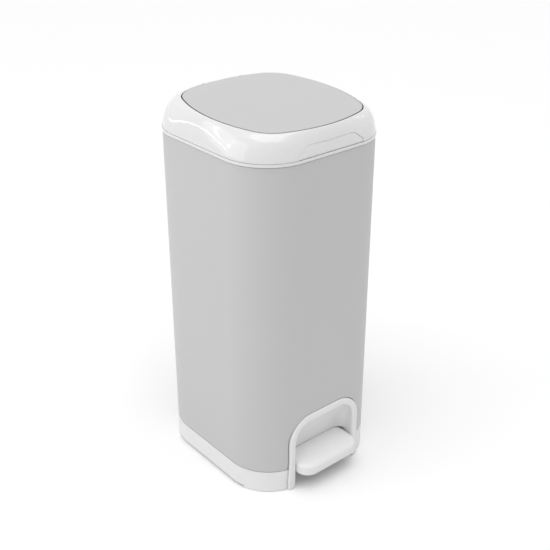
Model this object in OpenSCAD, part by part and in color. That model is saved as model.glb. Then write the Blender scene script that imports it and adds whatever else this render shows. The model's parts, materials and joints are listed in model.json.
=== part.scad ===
// Pedal nappy bin: a lower housing with a foot pedal, a tilting head and a lifting lid.
// Millimetres, +Z up, front towards -Y, origin on the floor under the middle of the whole bin.

/* [Body] */
// Width of the body, side to side
body_w = 255; // [246:1:266]
// Depth of the body, front to back
body_d = 274; // [266:1:284]
// Radius of the body's upright corners
corner_r = 74; // [70:1:77]
// Height of the body shell's top edge
seam_z = 545; // [500:5:590]
// Wall of the moulded shells
wall = 2.4; // [2:0.1:2.8]

/* [Base] */
// Height of the base band
base_h = 38.6; // [37:0.2:42]
// Underside of the base's floor plate
floor_z = 6; // [5.4:0.2:7]
// Thickness of the base's floor plate
floor_t = 2.5; // [2:0.1:3]
// Height of the spigot that locates the body shell
spigot_h = 10; // [7:0.5:14]
// Radius of a rubber foot
foot_r = 11; // [8:0.5:14]
// Height that the side edges are lifted between the corners
edge_lift = 3; // [2:0.2:3.6]

/* [Pedal surround] */
// Outer width of the arch
arch_w = 144; // [140:1:150]
// Height of the arch
arch_h = 127; // [122:1:136]
// Width of the arch's band
band_w = 11.5; // [10:0.5:13]
// Outer radius of the arch's corners
arch_r = 43; // [36:0.5:46]
// How far the band stands in front of the body
band_proud = 2.5; // [2:0.5:5]
// Depth of the recess behind the body's front face
recess_depth = 27; // [25:0.5:30]
// Radius of the recess panel's curve
hood_r = 150; // [110:5:220]

/* [Pedal] */
// Gap between the pad and the arch's legs
pad_gap = 1.2; // [0.8:0.1:3]
// Length of the pedal pad, front to back
pad_l = 60; // [56:1:62]
// How far the pad reaches in front of the body
pad_reach = 25; // [21:0.5:28]
// Radius of the pad's front corners
pad_front_r = 23; // [18:1:28]
// Radius of the pad's rear corners
pad_rear_r = 14; // [10:1:20]
// Thickness of the pad at its rear edge
pad_h = 20; // [19:0.5:22]
// Slope of the pad down to its front, in degrees
pad_slope = 1; // [0:0.5:3]
// Height of the pedal's pivot
pivot_z = 30; // [29:0.5:31]
// Radius of the pedal's pivot pin
pivot_r = 3; // [2.5:0.1:3.5]
// Thickness of the lever's arms
lever_t = 8; // [7:0.5:9]

/* [Lift rod] */
// Width of the rod's upright strip
rod_w = 12; // [10:0.5:13]
// Thickness of the rod's upright strip
rod_t = 4; // [3:0.5:5]
// Gap from the body's rear wall to the upright strip
rod_inset = 8.6; // [8:0.2:10]
// Width of the rod's upper tip
tip_w = 8; // [6:0.5:9]
// Distance from the lid's hinge to the line where the rod pushes
lobe_arm = 10; // [9:0.5:11]
// Opening angle of the lid, in degrees
lid_angle = 80; // [60:5:85]

/* [Collar] */
// Height of the visible collar strip
collar_h = 4; // [3:0.5:5]
// How far the collar stands outside the body
collar_out = 0.8; // [0.4:0.1:1.2]
// Depth of the collar's skirt inside the body
skirt_h = 25; // [18:1:32]
// Thickness of the collar's skirt
skirt_t = 2; // [1.6:0.1:2.4]

/* [Head hinge] */
// Distance of the head's hinge axis behind the body
hinge_out = 6; // [5.6:0.1:7]
// Radius of the head hinge's knuckles
knuckle_r = 4.5; // [4:0.1:4.8]
// Radius of the head hinge's pin
hinge_pin_r = 1.6; // [1.4:0.1:2]
// Width of the head's middle knuckle
knuckle_w = 52; // [40:1:60]
// Width of each outer knuckle
ear_w = 12; // [8:1:16]

/* [Head shell] */
// Height above the body's top edge where the shoulder's curve starts
shoulder_z = 0.3; // [0:0.1:1]
// Power of the shoulder's sideways curve
shoulder_power = 1.5; // [1.2:0.1:1.8]
// Thickness of the lip round the lid
lip_t = 3.4; // [3:0.2:4]
// Thickness of the head shell's wall
head_wall = 2.5; // [2.2:0.1:3]
// Thickness of the head's deck
deck_t = 3; // [2.5:0.5:3.5]

/* [Lid] */
// Width of the head's rim beside the lid, at each side
rim_side = 14.6; // [13.5:0.1:17]
// Width of the head's rim in front of the lid
rim_front = 10.7; // [10:0.1:13]
// Width of the head's rim behind the lid
rim_rear = 27.3; // [26:0.1:29]
// Corner radius of the lid panel
lid_r = 46; // [42:1:50]
// Radius of the lid panel's bowed sides
lid_bow = 223; // [215:1:240]
// Height of the lid's edge plane above the body's top edge
lid_rise = 45.4; // [43:0.2:48]
// Slope of the lid up to its rear, in degrees
lid_tilt = 2.4; // [1.8:0.1:3]
// Gap round the lid panel
lid_gap = 1.3; // [1.1:0.1:1.6]
// Thickness of the lid panel's edge
lid_t = 3; // [2.6:0.1:3.4]
// Height of the lid panel's crown
crown_h = 1.8; // [1:0.1:2.6]
// Radius of the lid hinge's pin
lid_pin_r = 1.5; // [1.2:0.1:1.8]
// Radius of the lid hinge's knuckles
lid_knuckle_r = 4.2; // [3.8:0.1:4.4]

/* [Release button] */
// Width of the release button along the seam
button_w = 120; // [110:1:124]
// Width of the release button's top edge
button_top_w = 84; // [76:1:90]
// Height of the release button
button_h = 20; // [17:0.5:22]
// Travel of the release button
button_travel = 2.5; // [2:0.1:3]

/* [Refill] */
// Width of the refill cassette
cassette_w = 172; // [160:1:174]
// Height of the refill cassette
cassette_h = 44; // [36:1:48]
// Width of the opening through the cassette
throat_w = 122; // [112:1:126]
// Corner radius of the refill cassette
cassette_r = 28; // [22:1:34]

/* [Film clamp] */
// Height of the clamp frame
clamp_h = 34; // [30:1:38]
// Length of a clamp jaw's flap, hinge to tip
jaw_l = 50; // [46:1:52]
// Thickness of a clamp jaw
jaw_t = 3; // [2.5:0.5:4]
// Radius of a jaw's pin
jaw_pin_r = 2; // [1.6:0.1:2.4]

/* [Odour filter] */
// Radius of the carbon filter
filter_r = 33; // [28:1:38]
// Thickness of the carbon filter
filter_t = 9; // [7:0.5:11]

/* [Fits] */
// Radial clearance of a turning pin
pin_fit = 0.05; // [0.03:0.01:0.08]
// Gap between fixed pieces that fit into each other
seat_fit = 0.1; // [0.08:0.01:0.15]
// Gap between pieces that move past each other
run_gap = 0.4; // [0.35:0.05:0.5]
// Gap where one moving piece rests on another
rest_gap = 0.3; // [0.3:0.02:0.4]

/* [Hidden] */

$fn = 64;
eps = 0.01;
far = 400;

// Outlines of the body and heights of its parts
front_y = -body_d / 2;
rear_y = body_d / 2;
collar_z = seam_z + collar_h;
head_z = collar_z + rest_gap;
inner_wall = wall + seat_fit;
base_wall = inner_wall + skirt_t;
floor_top = floor_z + floor_t;
tray_z = base_h + 22;
tray_t = 2.4;
tray_rim = 8;
rib_t = 2;
rib_h = 9;
rib_l = 56;
rib_x = 62;

// Arch of the pedal surround
arch_half = arch_w / 2;
mouth_half = arch_half - band_w;
mouth_top = arch_h - band_w;
mouth_r = arch_r - band_w;
band_back = 7;
band_round = 2.4;
leg_z = 1;
recess_y = front_y + recess_depth;
hood_t = 2.5;
hood_gap = 1.3;

// Lid, in its own tilted plane
lid_w = body_w - 2 * rim_side;
lid_d = body_d - rim_front - rim_rear;
lid_y = front_y + rim_front + lid_d / 2;
lid_z = seam_z + lid_rise;
lid_edge_r = 1.3;
lid_rear_y = lid_y + lid_d / 2 * cos(lid_tilt);
lid_rear_z = lid_z + lid_d / 2 * sin(lid_tilt);
lid_axis_y = lid_rear_y + 4.3;
lid_axis_z = lid_rear_z - 5.8;
lid_under = lid_t + seat_fit;
plate_t = 2.2;
frame_inset = 3;
frame_skirt = 9;

// Lift rod, its lobe and the pedal's lever
rod_y = lid_axis_y - lobe_arm;
lobe_drop = 16;
rod_travel = lobe_arm * lid_angle * PI / 180;
rod_top = lid_axis_z - lobe_drop - rest_gap;
strip_y = rear_y - wall - rod_inset;
tip_t = 5;
jog_z = head_z - 3;
jog_h = 9;
nose_r = 5;
foot_top = pivot_z + nose_r + rest_gap;
pad_rise = 20;
arm_crank = 4;
foot_half = 11;
foot_l = 8;
foot_t = 3;
rod_play = 1;
lever_z = pivot_z - lever_t / 2;
arm_x = 29;
arm_w = 9;
tail_half = 12;
tail_y = 40;
hub_r = 7;
hub_half = 40;
bracket_t = 5;
bracket_foot = 24;
bracket_x = hub_half + run_gap + bracket_t / 2;

// Head hinge and the sweep of the rod past the tilting head
axis_y = rear_y + hinge_out;
axis_z = collar_z;
rod_sweep = norm([axis_y - rod_y + tip_t / 2, rod_top + rod_travel - axis_z]);
slot_front = axis_y - rod_sweep - 1.5;
slot_half = tip_w / 2 + 1.8;

// Deck and refill well
deck_z = head_z + 1.7;
deck_top = deck_z + deck_t;
well_wall = 2.2;
well_gap = 0.8;
well_w = cassette_w + 2 * (well_gap + well_wall);
well_r = cassette_r + well_gap + well_wall;
well_y = slot_front - 3 - well_w / 2;
well_floor = deck_top - cassette_h - 1.5;
rim_z = deck_top + 6;
throat_r = 40;

// Film clamp
clamp_top = well_floor - 2.5 - seat_fit;
clamp_z = clamp_top - clamp_h;
clamp_wall = 2.5;
jaw_gap = 1.2;
jaw_axis_x = jaw_l + jaw_gap;
jaw_axis_z = clamp_top - 7;
jaw_hub_r = jaw_pin_r + 2.2;
jaw_half = throat_w / 2 - 4;
jaw_rib_in = 12;
jaw_rib_h = 4;
clamp_half_x = jaw_axis_x + jaw_hub_r + 1.5 + clamp_wall;
clamp_half_y = jaw_half + 6 + clamp_wall;
lip_w = 5;
lip_t_soft = 1.6;
spring_half = 9;
cutter_half = 24;
cutter_d = 9;
cutter_h = 12;

// Odour filter under the lid
filter_y = -18;
filter_wall = 2;
cover_t = 2.2;

// Release button
button_inset = 0.45;
button_t = 2.2;
button_r = 9;

// Shared outlines

module rounded_plan(w, d, r) {
    square([w - 2 * r, d], center = true);
    square([w, d - 2 * r], center = true);
    for (x = [-1, 1], y = [-1, 1])
        translate([x * (w / 2 - r), y * (d / 2 - r)]) circle(r = r);
}

module body_plan(inset = 0) {
    rounded_plan(body_w - 2 * inset, body_d - 2 * inset, corner_r - inset);
}

module body_band(z0, z1, inset, thick) {
    translate([0, 0, z0])
        linear_extrude(height = z1 - z0)
            difference() {
                body_plan(inset);
                body_plan(inset + thick);
            }
}

// Outline of the arch on the front face, standing on the height bottom
module arch_face(half_w, top, r, bottom) {
    translate([-half_w, bottom]) square([2 * half_w, top - r - bottom]);
    translate([r - half_w, bottom]) square([2 * (half_w - r), top - bottom]);
    for (x = [-1, 1])
        translate([x * (half_w - r), top - r]) circle(r = r);
}

// Extrudes an outline drawn in X and Z from the depth y0 back to y1
module front_extrude(y0, y1) {
    translate([0, y1, 0]) rotate([90, 0, 0]) linear_extrude(height = y1 - y0) children();
}

// Extrudes an outline drawn in Y and Z across X, from x0 to x1
module side_extrude(x0, x1) {
    translate([x0, 0, 0]) rotate([90, 0, 90]) linear_extrude(height = x1 - x0) children();
}

module x_cylinder(r, x0, x1, y, z) {
    translate([x0, y, z]) rotate([0, 90, 0]) cylinder(r = r, h = x1 - x0);
}

module y_cylinder(r, y0, y1, x, z) {
    translate([x, y1, z]) rotate([90, 0, 0]) cylinder(r = r, h = y1 - y0);
}

module lid_plane() {
    translate([0, lid_y, lid_z]) rotate([lid_tilt, 0, 0]) children();
}

// Centre of the corner arc of a rounded rectangle whose sides bow outwards
function bow_corner(hx, hy, r, bow) =
    let (a = [0, hy - bow], b = [hx - bow, 0], mid = (a + b) / 2, v = b - a,
         h = sqrt(pow(bow - r, 2) - v * v / 4), n = [v[1], -v[0]] / norm(v))
    mid + n * h;

// A quarter of that outline, from the +X side round to the +Y side
function bow_quarter(hx, hy, r, bow, side, corner) =
    let (c = bow_corner(hx, hy, r, bow),
         a0 = atan2(c[1], c[0] - hx + bow),
         a1 = atan2(c[1] - hy + bow, c[0]))
    concat(
        [for (i = [0 : side - 1]) [hx - bow, 0] + bow * [cos(a0 * i / side), sin(a0 * i / side)]],
        [for (i = [0 : corner - 1]) let (t = a0 + (a1 - a0) * i / corner) c + r * [cos(t), sin(t)]],
        [for (i = [0 : side]) let (t = a1 + (90 - a1) * i / side) [0, hy - bow] + bow * [cos(t), sin(t)]]
    );

// The whole outline, from its quarter by reflection
function mirrored(q) =
    let (n = len(q) - 1)
    concat(
        [for (i = [0 : n - 1]) q[i]],
        [for (i = [0 : n - 1]) [-q[n - i][0], q[n - i][1]]],
        [for (i = [0 : n - 1]) -q[i]],
        [for (i = [0 : n - 1]) [q[n - i][0], -q[n - i][1]]]
    );

side_steps = 4;
corner_steps = 9;
straight = 20000;

function body_outline(inset) =
    mirrored(bow_quarter(body_w / 2 - inset, body_d / 2 - inset, corner_r - inset, straight,
                         side_steps, corner_steps));

function lid_outline(out) =
    mirrored(bow_quarter(lid_w / 2 + out, lid_d / 2 + out, lid_r + out, lid_bow + out,
                         side_steps, corner_steps));

function on_lid_plane(p, z) =
    [p[0], lid_y + p[1] * cos(lid_tilt) - z * sin(lid_tilt),
     lid_z + p[1] * sin(lid_tilt) + z * cos(lid_tilt)];

// Triangles between ring i and ring j of n points each
function ring_faces(i, j, n) =
    [for (k = [0 : n - 1])
        let (a = i * n + k, b = i * n + (k + 1) % n, c = j * n + k, d = j * n + (k + 1) % n)
        each [[a, c, b], [b, c, d]]];

// Closed solid from rings stacked upwards
module loft(rings) {
    n = len(rings[0]);
    m = len(rings);
    polyhedron(
        points = [for (ring = rings) each ring],
        faces = concat(
            [[for (k = [0 : n - 1]) k]],
            [for (i = [0 : m - 2]) each ring_faces(i, i + 1, n)],
            [[for (k = [0 : n - 1]) m * n - 1 - k]]
        )
    );
}

// Closed ring-shaped solid: the rings run up its outside and down its inside
module loft_loop(rings) {
    n = len(rings[0]);
    m = len(rings);
    polyhedron(
        points = [for (ring = rings) each ring],
        faces = [for (i = [0 : m - 1]) each ring_faces(i, (i + 1) % m, n)]
    );
}

// One unbroken spring tube wound upwards round the Z axis
module coil(r, wire_r, height, turns) {
    steps = 14;
    sides = 6;
    rings = [for (i = [0 : turns * steps])
        let (t = 360 * i / steps, z = wire_r + (height - 2 * wire_r) * i / (turns * steps))
        [for (k = [0 : sides - 1])
            let (a = 360 * k / sides, q = r + wire_r * cos(a))
            [q * cos(t), q * sin(t), z + wire_r * sin(a)]]];
    n = sides;
    m = len(rings);
    polyhedron(
        points = [for (ring = rings) each ring],
        faces = concat(
            [[for (k = [0 : n - 1]) n - 1 - k]],
            [for (i = [0 : m - 2], k = [0 : n - 1])
                let (a = i * n + k, b = i * n + (k + 1) % n, c = a + n, d = b + n)
                each [[a, b, c], [b, d, c]]],
            [[for (k = [0 : n - 1]) (m - 1) * n + k]]
        )
    );
}

// Lower housing

module body_shell() {
    color("silver")
        difference() {
            body_band(base_h, seam_z, 0, wall);
            front_extrude(front_y - 1, front_y + corner_r / 2)
                arch_face(arch_half + seat_fit, arch_h + seat_fit, arch_r + seat_fit, 0);
        }
}

module pivot_bracket(x) {
    difference() {
        side_extrude(x - bracket_t / 2, x + bracket_t / 2) {
            translate([0, pivot_z]) circle(r = hub_r);
            translate([-hub_r, floor_top - 1]) square([2 * hub_r, pivot_z - floor_top + 1]);
            polygon([[-bracket_foot, floor_top - 1], [bracket_foot, floor_top - 1],
                     [hub_r, pivot_z - hub_r / 2], [-hub_r, pivot_z - hub_r / 2]]);
        }
        x_cylinder(pivot_r + eps, x - bracket_t, x + bracket_t, 0, pivot_z);
    }
}

// Stiffening ribs on the floor plate, clear of the pedal's lever
module floor_ribs() {
    for (side = [0, 1])
        mirror([side, 0, 0]) {
            for (y = [-1, 0, 1])
                translate([rib_x, y * body_d / 5 - rib_t / 2, floor_top - 1])
                    cube([rib_l, rib_t, rib_h + 1]);
            translate([rib_x, -body_d * 0.27, floor_top - 1]) cube([rib_t, body_d * 0.54, rib_h + 1]);
        }
}

module base() {
    flat_x = body_w - 2 * corner_r;
    flat_y = body_d - 2 * corner_r;
    color("whitesmoke")
        union() {
            difference() {
                union() {
                    body_band(leg_z, base_h, 0, wall);
                    body_band(base_h - spigot_h, base_h, wall - 1, base_wall - wall + 1);
                    body_band(base_h - 1, base_h + spigot_h, inner_wall, skirt_t);
                    translate([0, 0, floor_z]) linear_extrude(height = floor_t) body_plan(wall / 2);
                    floor_ribs();
                }
                // Opening for the pedal and its surround
                translate([-arch_half - seat_fit, front_y - 1, 0])
                    cube([arch_w + 2 * seat_fit, recess_depth + 1 + seat_fit, arch_h]);
                // Lower edges lifted between the corners
                for (x = [-1, 1])
                    translate([x * body_w / 2, 0, 0])
                        cube([3 * wall, flat_y, 2 * edge_lift], center = true);
                translate([0, rear_y, 0]) cube([flat_x, 3 * wall, 2 * edge_lift], center = true);
            }
            for (x = [-1, 1])
                pivot_bracket(x * bracket_x);
        }
}

// Tray that closes the bag space above the pedal's lever
module inner_floor() {
    color("whitesmoke")
        difference() {
            union() {
                translate([0, 0, tray_z]) linear_extrude(height = tray_t) body_plan(base_wall);
                body_band(base_h + spigot_h + seat_fit, tray_z + tray_rim, inner_wall, skirt_t);
                translate([0, spring_y, tray_z - spring_seat])
                    cylinder(r = spring_r - spring_wire - run_gap, h = spring_seat + 1);
            }
            translate([-arch_half, front_y - 1, 0])
                cube([arch_w, recess_depth + 1 + hood_t + seat_fit, arch_h]);
            translate([-rod_w / 2 - rod_play, strip_y - rod_t / 2 - rod_play, base_h])
                cube([rod_w + 2 * rod_play, rod_t + 2 * rod_play, arch_h]);
        }
}

module band_section() {
    depth = band_back + band_proud;
    translate([-band_w / 2, 0]) square([band_w, depth - band_round]);
    translate([band_round - band_w / 2, 0]) square([band_w - 2 * band_round, depth]);
    for (x = [-1, 1])
        translate([x * (band_w / 2 - band_round), depth - band_round]) circle(r = band_round);
}

// Rounded band that frames the pedal, standing on the floor
module arch_band() {
    centre_r = arch_r - band_w / 2;
    y = front_y + band_back;
    for (side = [0, 1])
        mirror([side, 0, 0]) {
            translate([arch_half - band_w / 2, y, leg_z])
                rotate([0, 0, 180]) mirror([1, 0, 0])
                    linear_extrude(height = arch_h - arch_r - leg_z) band_section();
            translate([arch_half - arch_r, y, arch_h - arch_r])
                rotate([90, 0, 0]) rotate_extrude(angle = 90) translate([centre_r, 0]) band_section();
        }
    translate([arch_r - arch_half, y, arch_h - band_w / 2])
        rotate([90, 0, 90]) linear_extrude(height = arch_w - 2 * arch_r)
            rotate([0, 0, 90]) band_section();
}

// Recess panel: a curved sheet from the arch's inner edge down to the pedal's slot
hood_front = [front_y - 1, mouth_top];
hood_rear = [recess_y, pivot_z + pad_rise + hood_gap];

module hood_sheet() {
    mid = (hood_front + hood_rear) / 2;
    v = hood_rear - hood_front;
    n = [v[1], -v[0]] / norm(v);
    centre = mid + n * sqrt(hood_r * hood_r - v * v / 4);
    side_extrude(-mouth_half - 1, mouth_half + 1)
        intersection() {
            difference() {
                translate(centre) circle(r = hood_r + hood_t, $fn = 96);
                translate(centre) circle(r = hood_r, $fn = 96);
            }
            translate([hood_front[0], hood_rear[1]])
                square([recess_depth + 1 + hood_t, hood_front[1] - hood_rear[1] + hood_t]);
        }
}

module pedal_surround() {
    color("whitesmoke")
        union() {
            arch_band();
            front_extrude(front_y + band_back - 2, recess_y)
                difference() {
                    arch_face(mouth_half + hood_t, mouth_top + hood_t, mouth_r + hood_t,
                              floor_top + seat_fit);
                    arch_face(mouth_half, mouth_top, mouth_r, 0);
                }
            intersection() {
                hood_sheet();
                front_extrude(front_y - 2, recess_y + hood_t)
                    arch_face(mouth_half + 1, mouth_top + 1, mouth_r + 1, 0);
            }
        }
}

// Channel that guides the rod up the rear wall
guide_half = rod_w / 2 + rod_play / 2;
guide_t = 2;
guide_flange = 12;
guide_y = strip_y - rod_t / 2 - rod_play / 2;
guide_z0 = tray_z + tray_rim + seat_fit;
guide_z1 = seam_z - skirt_h - collar_h;

module rod_guide() {
    back = rear_y - wall - seat_fit;
    color("whitesmoke")
        translate([0, 0, guide_z0])
            linear_extrude(height = guide_z1 - guide_z0) {
                for (side = [0, 1])
                    mirror([side, 0]) {
                        translate([guide_half, guide_y - guide_t])
                            square([guide_t, back - guide_y + guide_t]);
                        translate([guide_half, back - guide_t]) square([guide_flange, guide_t]);
                    }
                translate([-guide_half - guide_t, guide_y - guide_t])
                    square([2 * (guide_half + guide_t), guide_t]);
            }
}

ear_x = knuckle_w / 2 + run_gap;
ear_drop = 18;

// Outer knuckles of the head's hinge, on brackets behind the body
module hinge_ear(x0, x1) {
    gap = rear_y + run_gap;
    difference() {
        side_extrude(x0, x1) {
            translate([axis_y, axis_z]) circle(r = knuckle_r);
            polygon([[gap, axis_z], [gap, axis_z - ear_drop], [gap + hinge_out / 2, axis_z - ear_drop],
                     [axis_y + knuckle_r, axis_z - knuckle_r], [axis_y + knuckle_r, axis_z]]);
        }
        x_cylinder(hinge_pin_r + eps, x0 - 1, x1 + 1, axis_y, axis_z);
    }
}

module collar() {
    color("white")
        difference() {
            union() {
                body_band(seam_z, collar_z, -collar_out, collar_out + base_wall);
                body_band(seam_z - skirt_h, collar_z, inner_wall, skirt_t);
                for (side = [0, 1])
                    mirror([side, 0, 0]) {
                        hinge_ear(ear_x, ear_x + ear_w);
                        translate([ear_x, rear_y - 1, seam_z])
                            cube([ear_w, hinge_out, collar_h / 2]);
                    }
            }
            // Window behind the release button's hook
            translate([-catch_half, front_y, catch_z])
                cube([2 * catch_half, 2 * base_wall, catch_h]);
        }
}

module head_hinge_pin() {
    color("lightsteelblue")
        x_cylinder(hinge_pin_r, -ear_x - ear_w, ear_x + ear_w, axis_y, axis_z);
}

module pedal_pin() {
    color("lightsteelblue")
        x_cylinder(pivot_r, -bracket_x - bracket_t / 2, bracket_x + bracket_t / 2, 0, pivot_z);
}

spring_y = 62;
spring_r = 7;
spring_wire = 0.9;
spring_seat = 5;

module pedal_spring() {
    z0 = lever_z + lever_t;
    color("lightsteelblue")
        translate([0, spring_y, z0 + 0.1]) coil(spring_r, spring_wire, tray_z - z0 - 0.2, 6);
}

foot_in = 32;

module foot(x, y) {
    color("dimgray")
        translate([x * (body_w / 2 - foot_in), y * (body_d / 2 - foot_in), 0])
            union() {
                cylinder(r1 = foot_r - 1, r2 = foot_r, h = 1);
                translate([0, 0, 1]) cylinder(r = foot_r, h = floor_z - 1 - seat_fit);
            }
}

module foot_front_left() { foot(-1, -1); }
module foot_front_right() { foot(1, -1); }
module foot_rear_left() { foot(-1, 1); }
module foot_rear_right() { foot(1, 1); }

// Pedal

pad_w = 2 * (mouth_half - pad_gap);
pad_rear_y = front_y - pad_reach + pad_l;
pad_bottom = pivot_z + pad_rise - pad_h;
pad_skin = 3.5;
pad_round = 7;
pad_edge = 0.8;
block_l = 8;

// Rounded outline of the pad, with larger corners at its front
function pad_outline(inset, z) =
    let (hw = pad_w / 2 - inset, f = pad_front_r - inset, r = pad_rear_r - inset * 0.6, n = 8,
         y0 = -pad_l + inset, y1 = -inset,
         right = concat(
            [for (i = [0 : n]) let (t = -90 + 90 * i / n) [hw - f + f * cos(t), y0 + f + f * sin(t)]],
            [for (i = [0 : n]) let (t = 90 * i / n) [hw - r + r * cos(t), y1 - r + r * sin(t)]]),
         m = len(right) - 1)
    [for (p = concat(right, [for (i = [0 : m]) [-right[m - i][0], right[m - i][1]]])) [p[0], p[1], z]];

module pad_frame() {
    translate([0, pad_rear_y, pad_bottom + pad_h]) rotate([pad_slope, 0, 0]) children();
}

module pedal_pad() {
    color("white")
        difference() {
            pad_frame() loft(concat(
                [pad_outline(2, -pad_h), pad_outline(0.6, 1.4 - pad_h), pad_outline(0, 3.4 - pad_h)],
                [for (t = [0 : 22.5 : 90])
                    pad_outline(pad_round * (1 - cos(t)), pad_round * (sin(t) - 1) - pad_edge)],
                [pad_outline(13, -0.1)]
            ));
            pad_frame() loft([pad_outline(4, -pad_h - 1), pad_outline(3, 2 - pad_h),
                              pad_outline(3, -9), pad_outline(7, -pad_skin)]);
            // Notch in the rear wall for the lever's arms
            translate([-arm_x - arm_w / 2 - 2 * seat_fit, pad_rear_y - 8, 0])
                cube([2 * arm_x + arm_w + 4 * seat_fit, 12, lever_z + arm_crank + lever_t + 2 * seat_fit]);
        }
}

// Outline of the lever: two arms to the pad, a web and a tail under the rod
module lever_plan() {
    front = pad_rear_y - pad_l + 14;
    edge = arm_x + arm_w / 2;
    window = (strip_y - tail_y) / 4.2;
    difference() {
        union() {
            for (x = [-1, 1])
                translate([x * arm_x - arm_w / 2, front]) square([arm_w, -front]);
            translate([-arm_x, pad_rear_y + 3]) square([2 * arm_x, arm_w]);
            translate([-arm_x, front]) square([2 * arm_x, arm_w]);
            polygon([[-edge, -2 * hub_r], [edge, -2 * hub_r], [edge, hub_r / 2],
                     [tail_half, tail_y], [-tail_half, tail_y], [-edge, hub_r / 2]]);
            translate([-tail_half, tail_y - 1]) square([2 * tail_half, strip_y - tail_y + 1]);
        }
        // Lightening windows along the tail, behind the spring's seat
        for (i = [0, 1])
            translate([-tail_half / 2, spring_y + 2 * spring_r + i * window])
                square([tail_half, window - arm_w / 2]);
    }
}

// Side view of the lever, whose arms are cranked up to the pad
module lever_side() {
    front = pad_rear_y - pad_l;
    bend = pad_rear_y + 2 * arm_w;
    low = lever_z + arm_crank;
    polygon([[front, low], [bend - arm_w, low], [bend, lever_z], [strip_y + 1, lever_z],
             [strip_y + 1, lever_z + lever_t], [bend, lever_z + lever_t],
             [bend - arm_w, low + lever_t], [front, low + lever_t]]);
}

module pedal_lever() {
    color("gainsboro")
        difference() {
            union() {
                intersection() {
                    translate([0, 0, lever_z]) linear_extrude(height = arm_crank + lever_t) lever_plan();
                    side_extrude(-hub_half, hub_half) lever_side();
                }
                // Blocks that carry the pad
                for (x = [-1, 1], k = [0.25, 0.7])
                    translate([x * arm_x - arm_w / 2, pad_rear_y - pad_l * k - block_l / 2,
                               lever_z + arm_crank])
                        cube([arm_w, block_l, pad_seat(k) - lever_z - arm_crank]);
                x_cylinder(hub_r, -hub_half, hub_half, 0, pivot_z);
                x_cylinder(nose_r, -tail_half, tail_half, strip_y, pivot_z);
            }
            x_cylinder(pivot_r + pin_fit, -hub_half - 1, hub_half + 1, 0, pivot_z);
        }
}

// Height of the pad's ceiling above the block at the fraction k of its length
function pad_seat(k) =
    pad_bottom + pad_h - (pad_l * k + block_l / 2) * tan(pad_slope) - pad_skin / cos(pad_slope) - seat_fit;

// Lift rod: foot on the lever's tail, strip up the rear wall, a jog forwards and the tip
module push_rod() {
    y0 = rod_y - tip_t / 2;
    y1 = strip_y + rod_t / 2;
    brace = 1.5 * jog_h;
    chamfer = 0.8;
    color("gainsboro")
        union() {
            translate([-foot_half, strip_y - foot_l, foot_top])
                cube([2 * foot_half, foot_l + rod_t / 2, foot_t]);
            translate([-rod_w / 2, strip_y - rod_t / 2, foot_top + 1])
                cube([rod_w, rod_t, guide_z1 + foot_t - foot_top]);
            translate([-tip_w / 2, strip_y - rod_t / 2, guide_z1])
                cube([tip_w, rod_t, jog_z + jog_h - guide_z1]);
            side_extrude(-tip_w / 2, tip_w / 2) {
                polygon([[y0, jog_z], [y1 - rod_t, jog_z], [y1 - rod_t, jog_z - brace],
                         [y1, jog_z - brace], [y1, jog_z + jog_h], [y0, jog_z + jog_h]]);
                translate([y0, jog_z]) square([tip_t, rod_top - 2 - jog_z]);
                translate([y0 + chamfer, rod_top - 3]) square([tip_t - 2 * chamfer, 3]);
            }
        }
}

// Head

// Point of the head shell's shoulder between the foot outline p and the lip outline q
function shoulder_point(p, q, z0, z1, t) =
    let (s = 1 - pow(max(0, cos(t)), shoulder_power))
    [p[0] + (q[0] - p[0]) * s, p[1] + (q[1] - p[1]) * s, z0 + (z1 - z0) * sin(t)];

// Rings up the shoulder, from the head's lower edge to the lip
function shoulder_rings(inset, drop, steps) =
    let (foot = body_outline(inset), lip = [for (p = lid_outline(lid_gap)) on_lid_plane(p, -0.4 - drop)],
         start = seam_z + shoulder_z)
    [for (i = [0 : steps])
        [for (k = [0 : len(foot) - 1])
            let (t0 = asin((head_z - start) / (lip[k][2] - start)), t = t0 + (90 - t0) * i / steps)
            shoulder_point(foot[k], lip[k], start, lip[k][2], t)]];

function reversed(v) = [for (i = [len(v) - 1 : -1 : 0]) v[i]];

// Points of the arc that rounds the corner b of the path a, b, c
function fillet(a, b, c, r, n) =
    let (u = (a - b) / norm(a - b), v = (c - b) / norm(c - b), half = acos(u * v) / 2,
         centre = b + (u + v) / norm(u + v) * r / sin(half),
         p = b + u * r / tan(half) - centre,
         turn = (u[0] * v[1] - u[1] * v[0] > 0 ? -1 : 1) * (180 - 2 * half))
    [for (i = [0 : n]) let (t = turn * i / n)
        centre + [p[0] * cos(t) - p[1] * sin(t), p[0] * sin(t) + p[1] * cos(t)]];

// Outline of the release button on the head's front: upright at the seam, then sloping to its top
module button_face(grow) {
    half = button_w / 2 + grow;
    top_half = button_top_w / 2 + grow / 2;
    knee = head_z + button_h * 0.3;
    top = head_z + button_h + grow;
    right = concat(
        fillet([half, head_z], [half, knee], [top_half, top], button_r, 4),
        fillet([half, knee], [top_half, top], [0, top], button_r - 2, 4)
    );
    n = len(right) - 1;
    polygon(concat([[half, head_z - 1]], right,
                   [for (i = [0 : n]) [-right[n - i][0], right[n - i][1]]], [[-half, head_z - 1]]));
}

valley_half = 37;
valley_z = lid_axis_z - lid_knuckle_r - run_gap;

module head_shell() {
    color("white")
        difference() {
            loft_loop(concat(shoulder_rings(0, 0, 10), reversed(shoulder_rings(head_wall, lip_t, 7))));
            front_extrude(front_y - 5, front_y + 30) button_face(0);
            // Valley for the lid's hinge
            translate([-valley_half, lid_axis_y - 12, valley_z]) cube([2 * valley_half, 40, 40]);
            // Notch for the middle knuckle's tab
            translate([-knuckle_w / 2 - seat_fit, rear_y - 12, head_z - 1])
                cube([knuckle_w + 2 * seat_fit, 20, deck_top - head_z + 1 + seat_fit]);
        }
}

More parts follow.
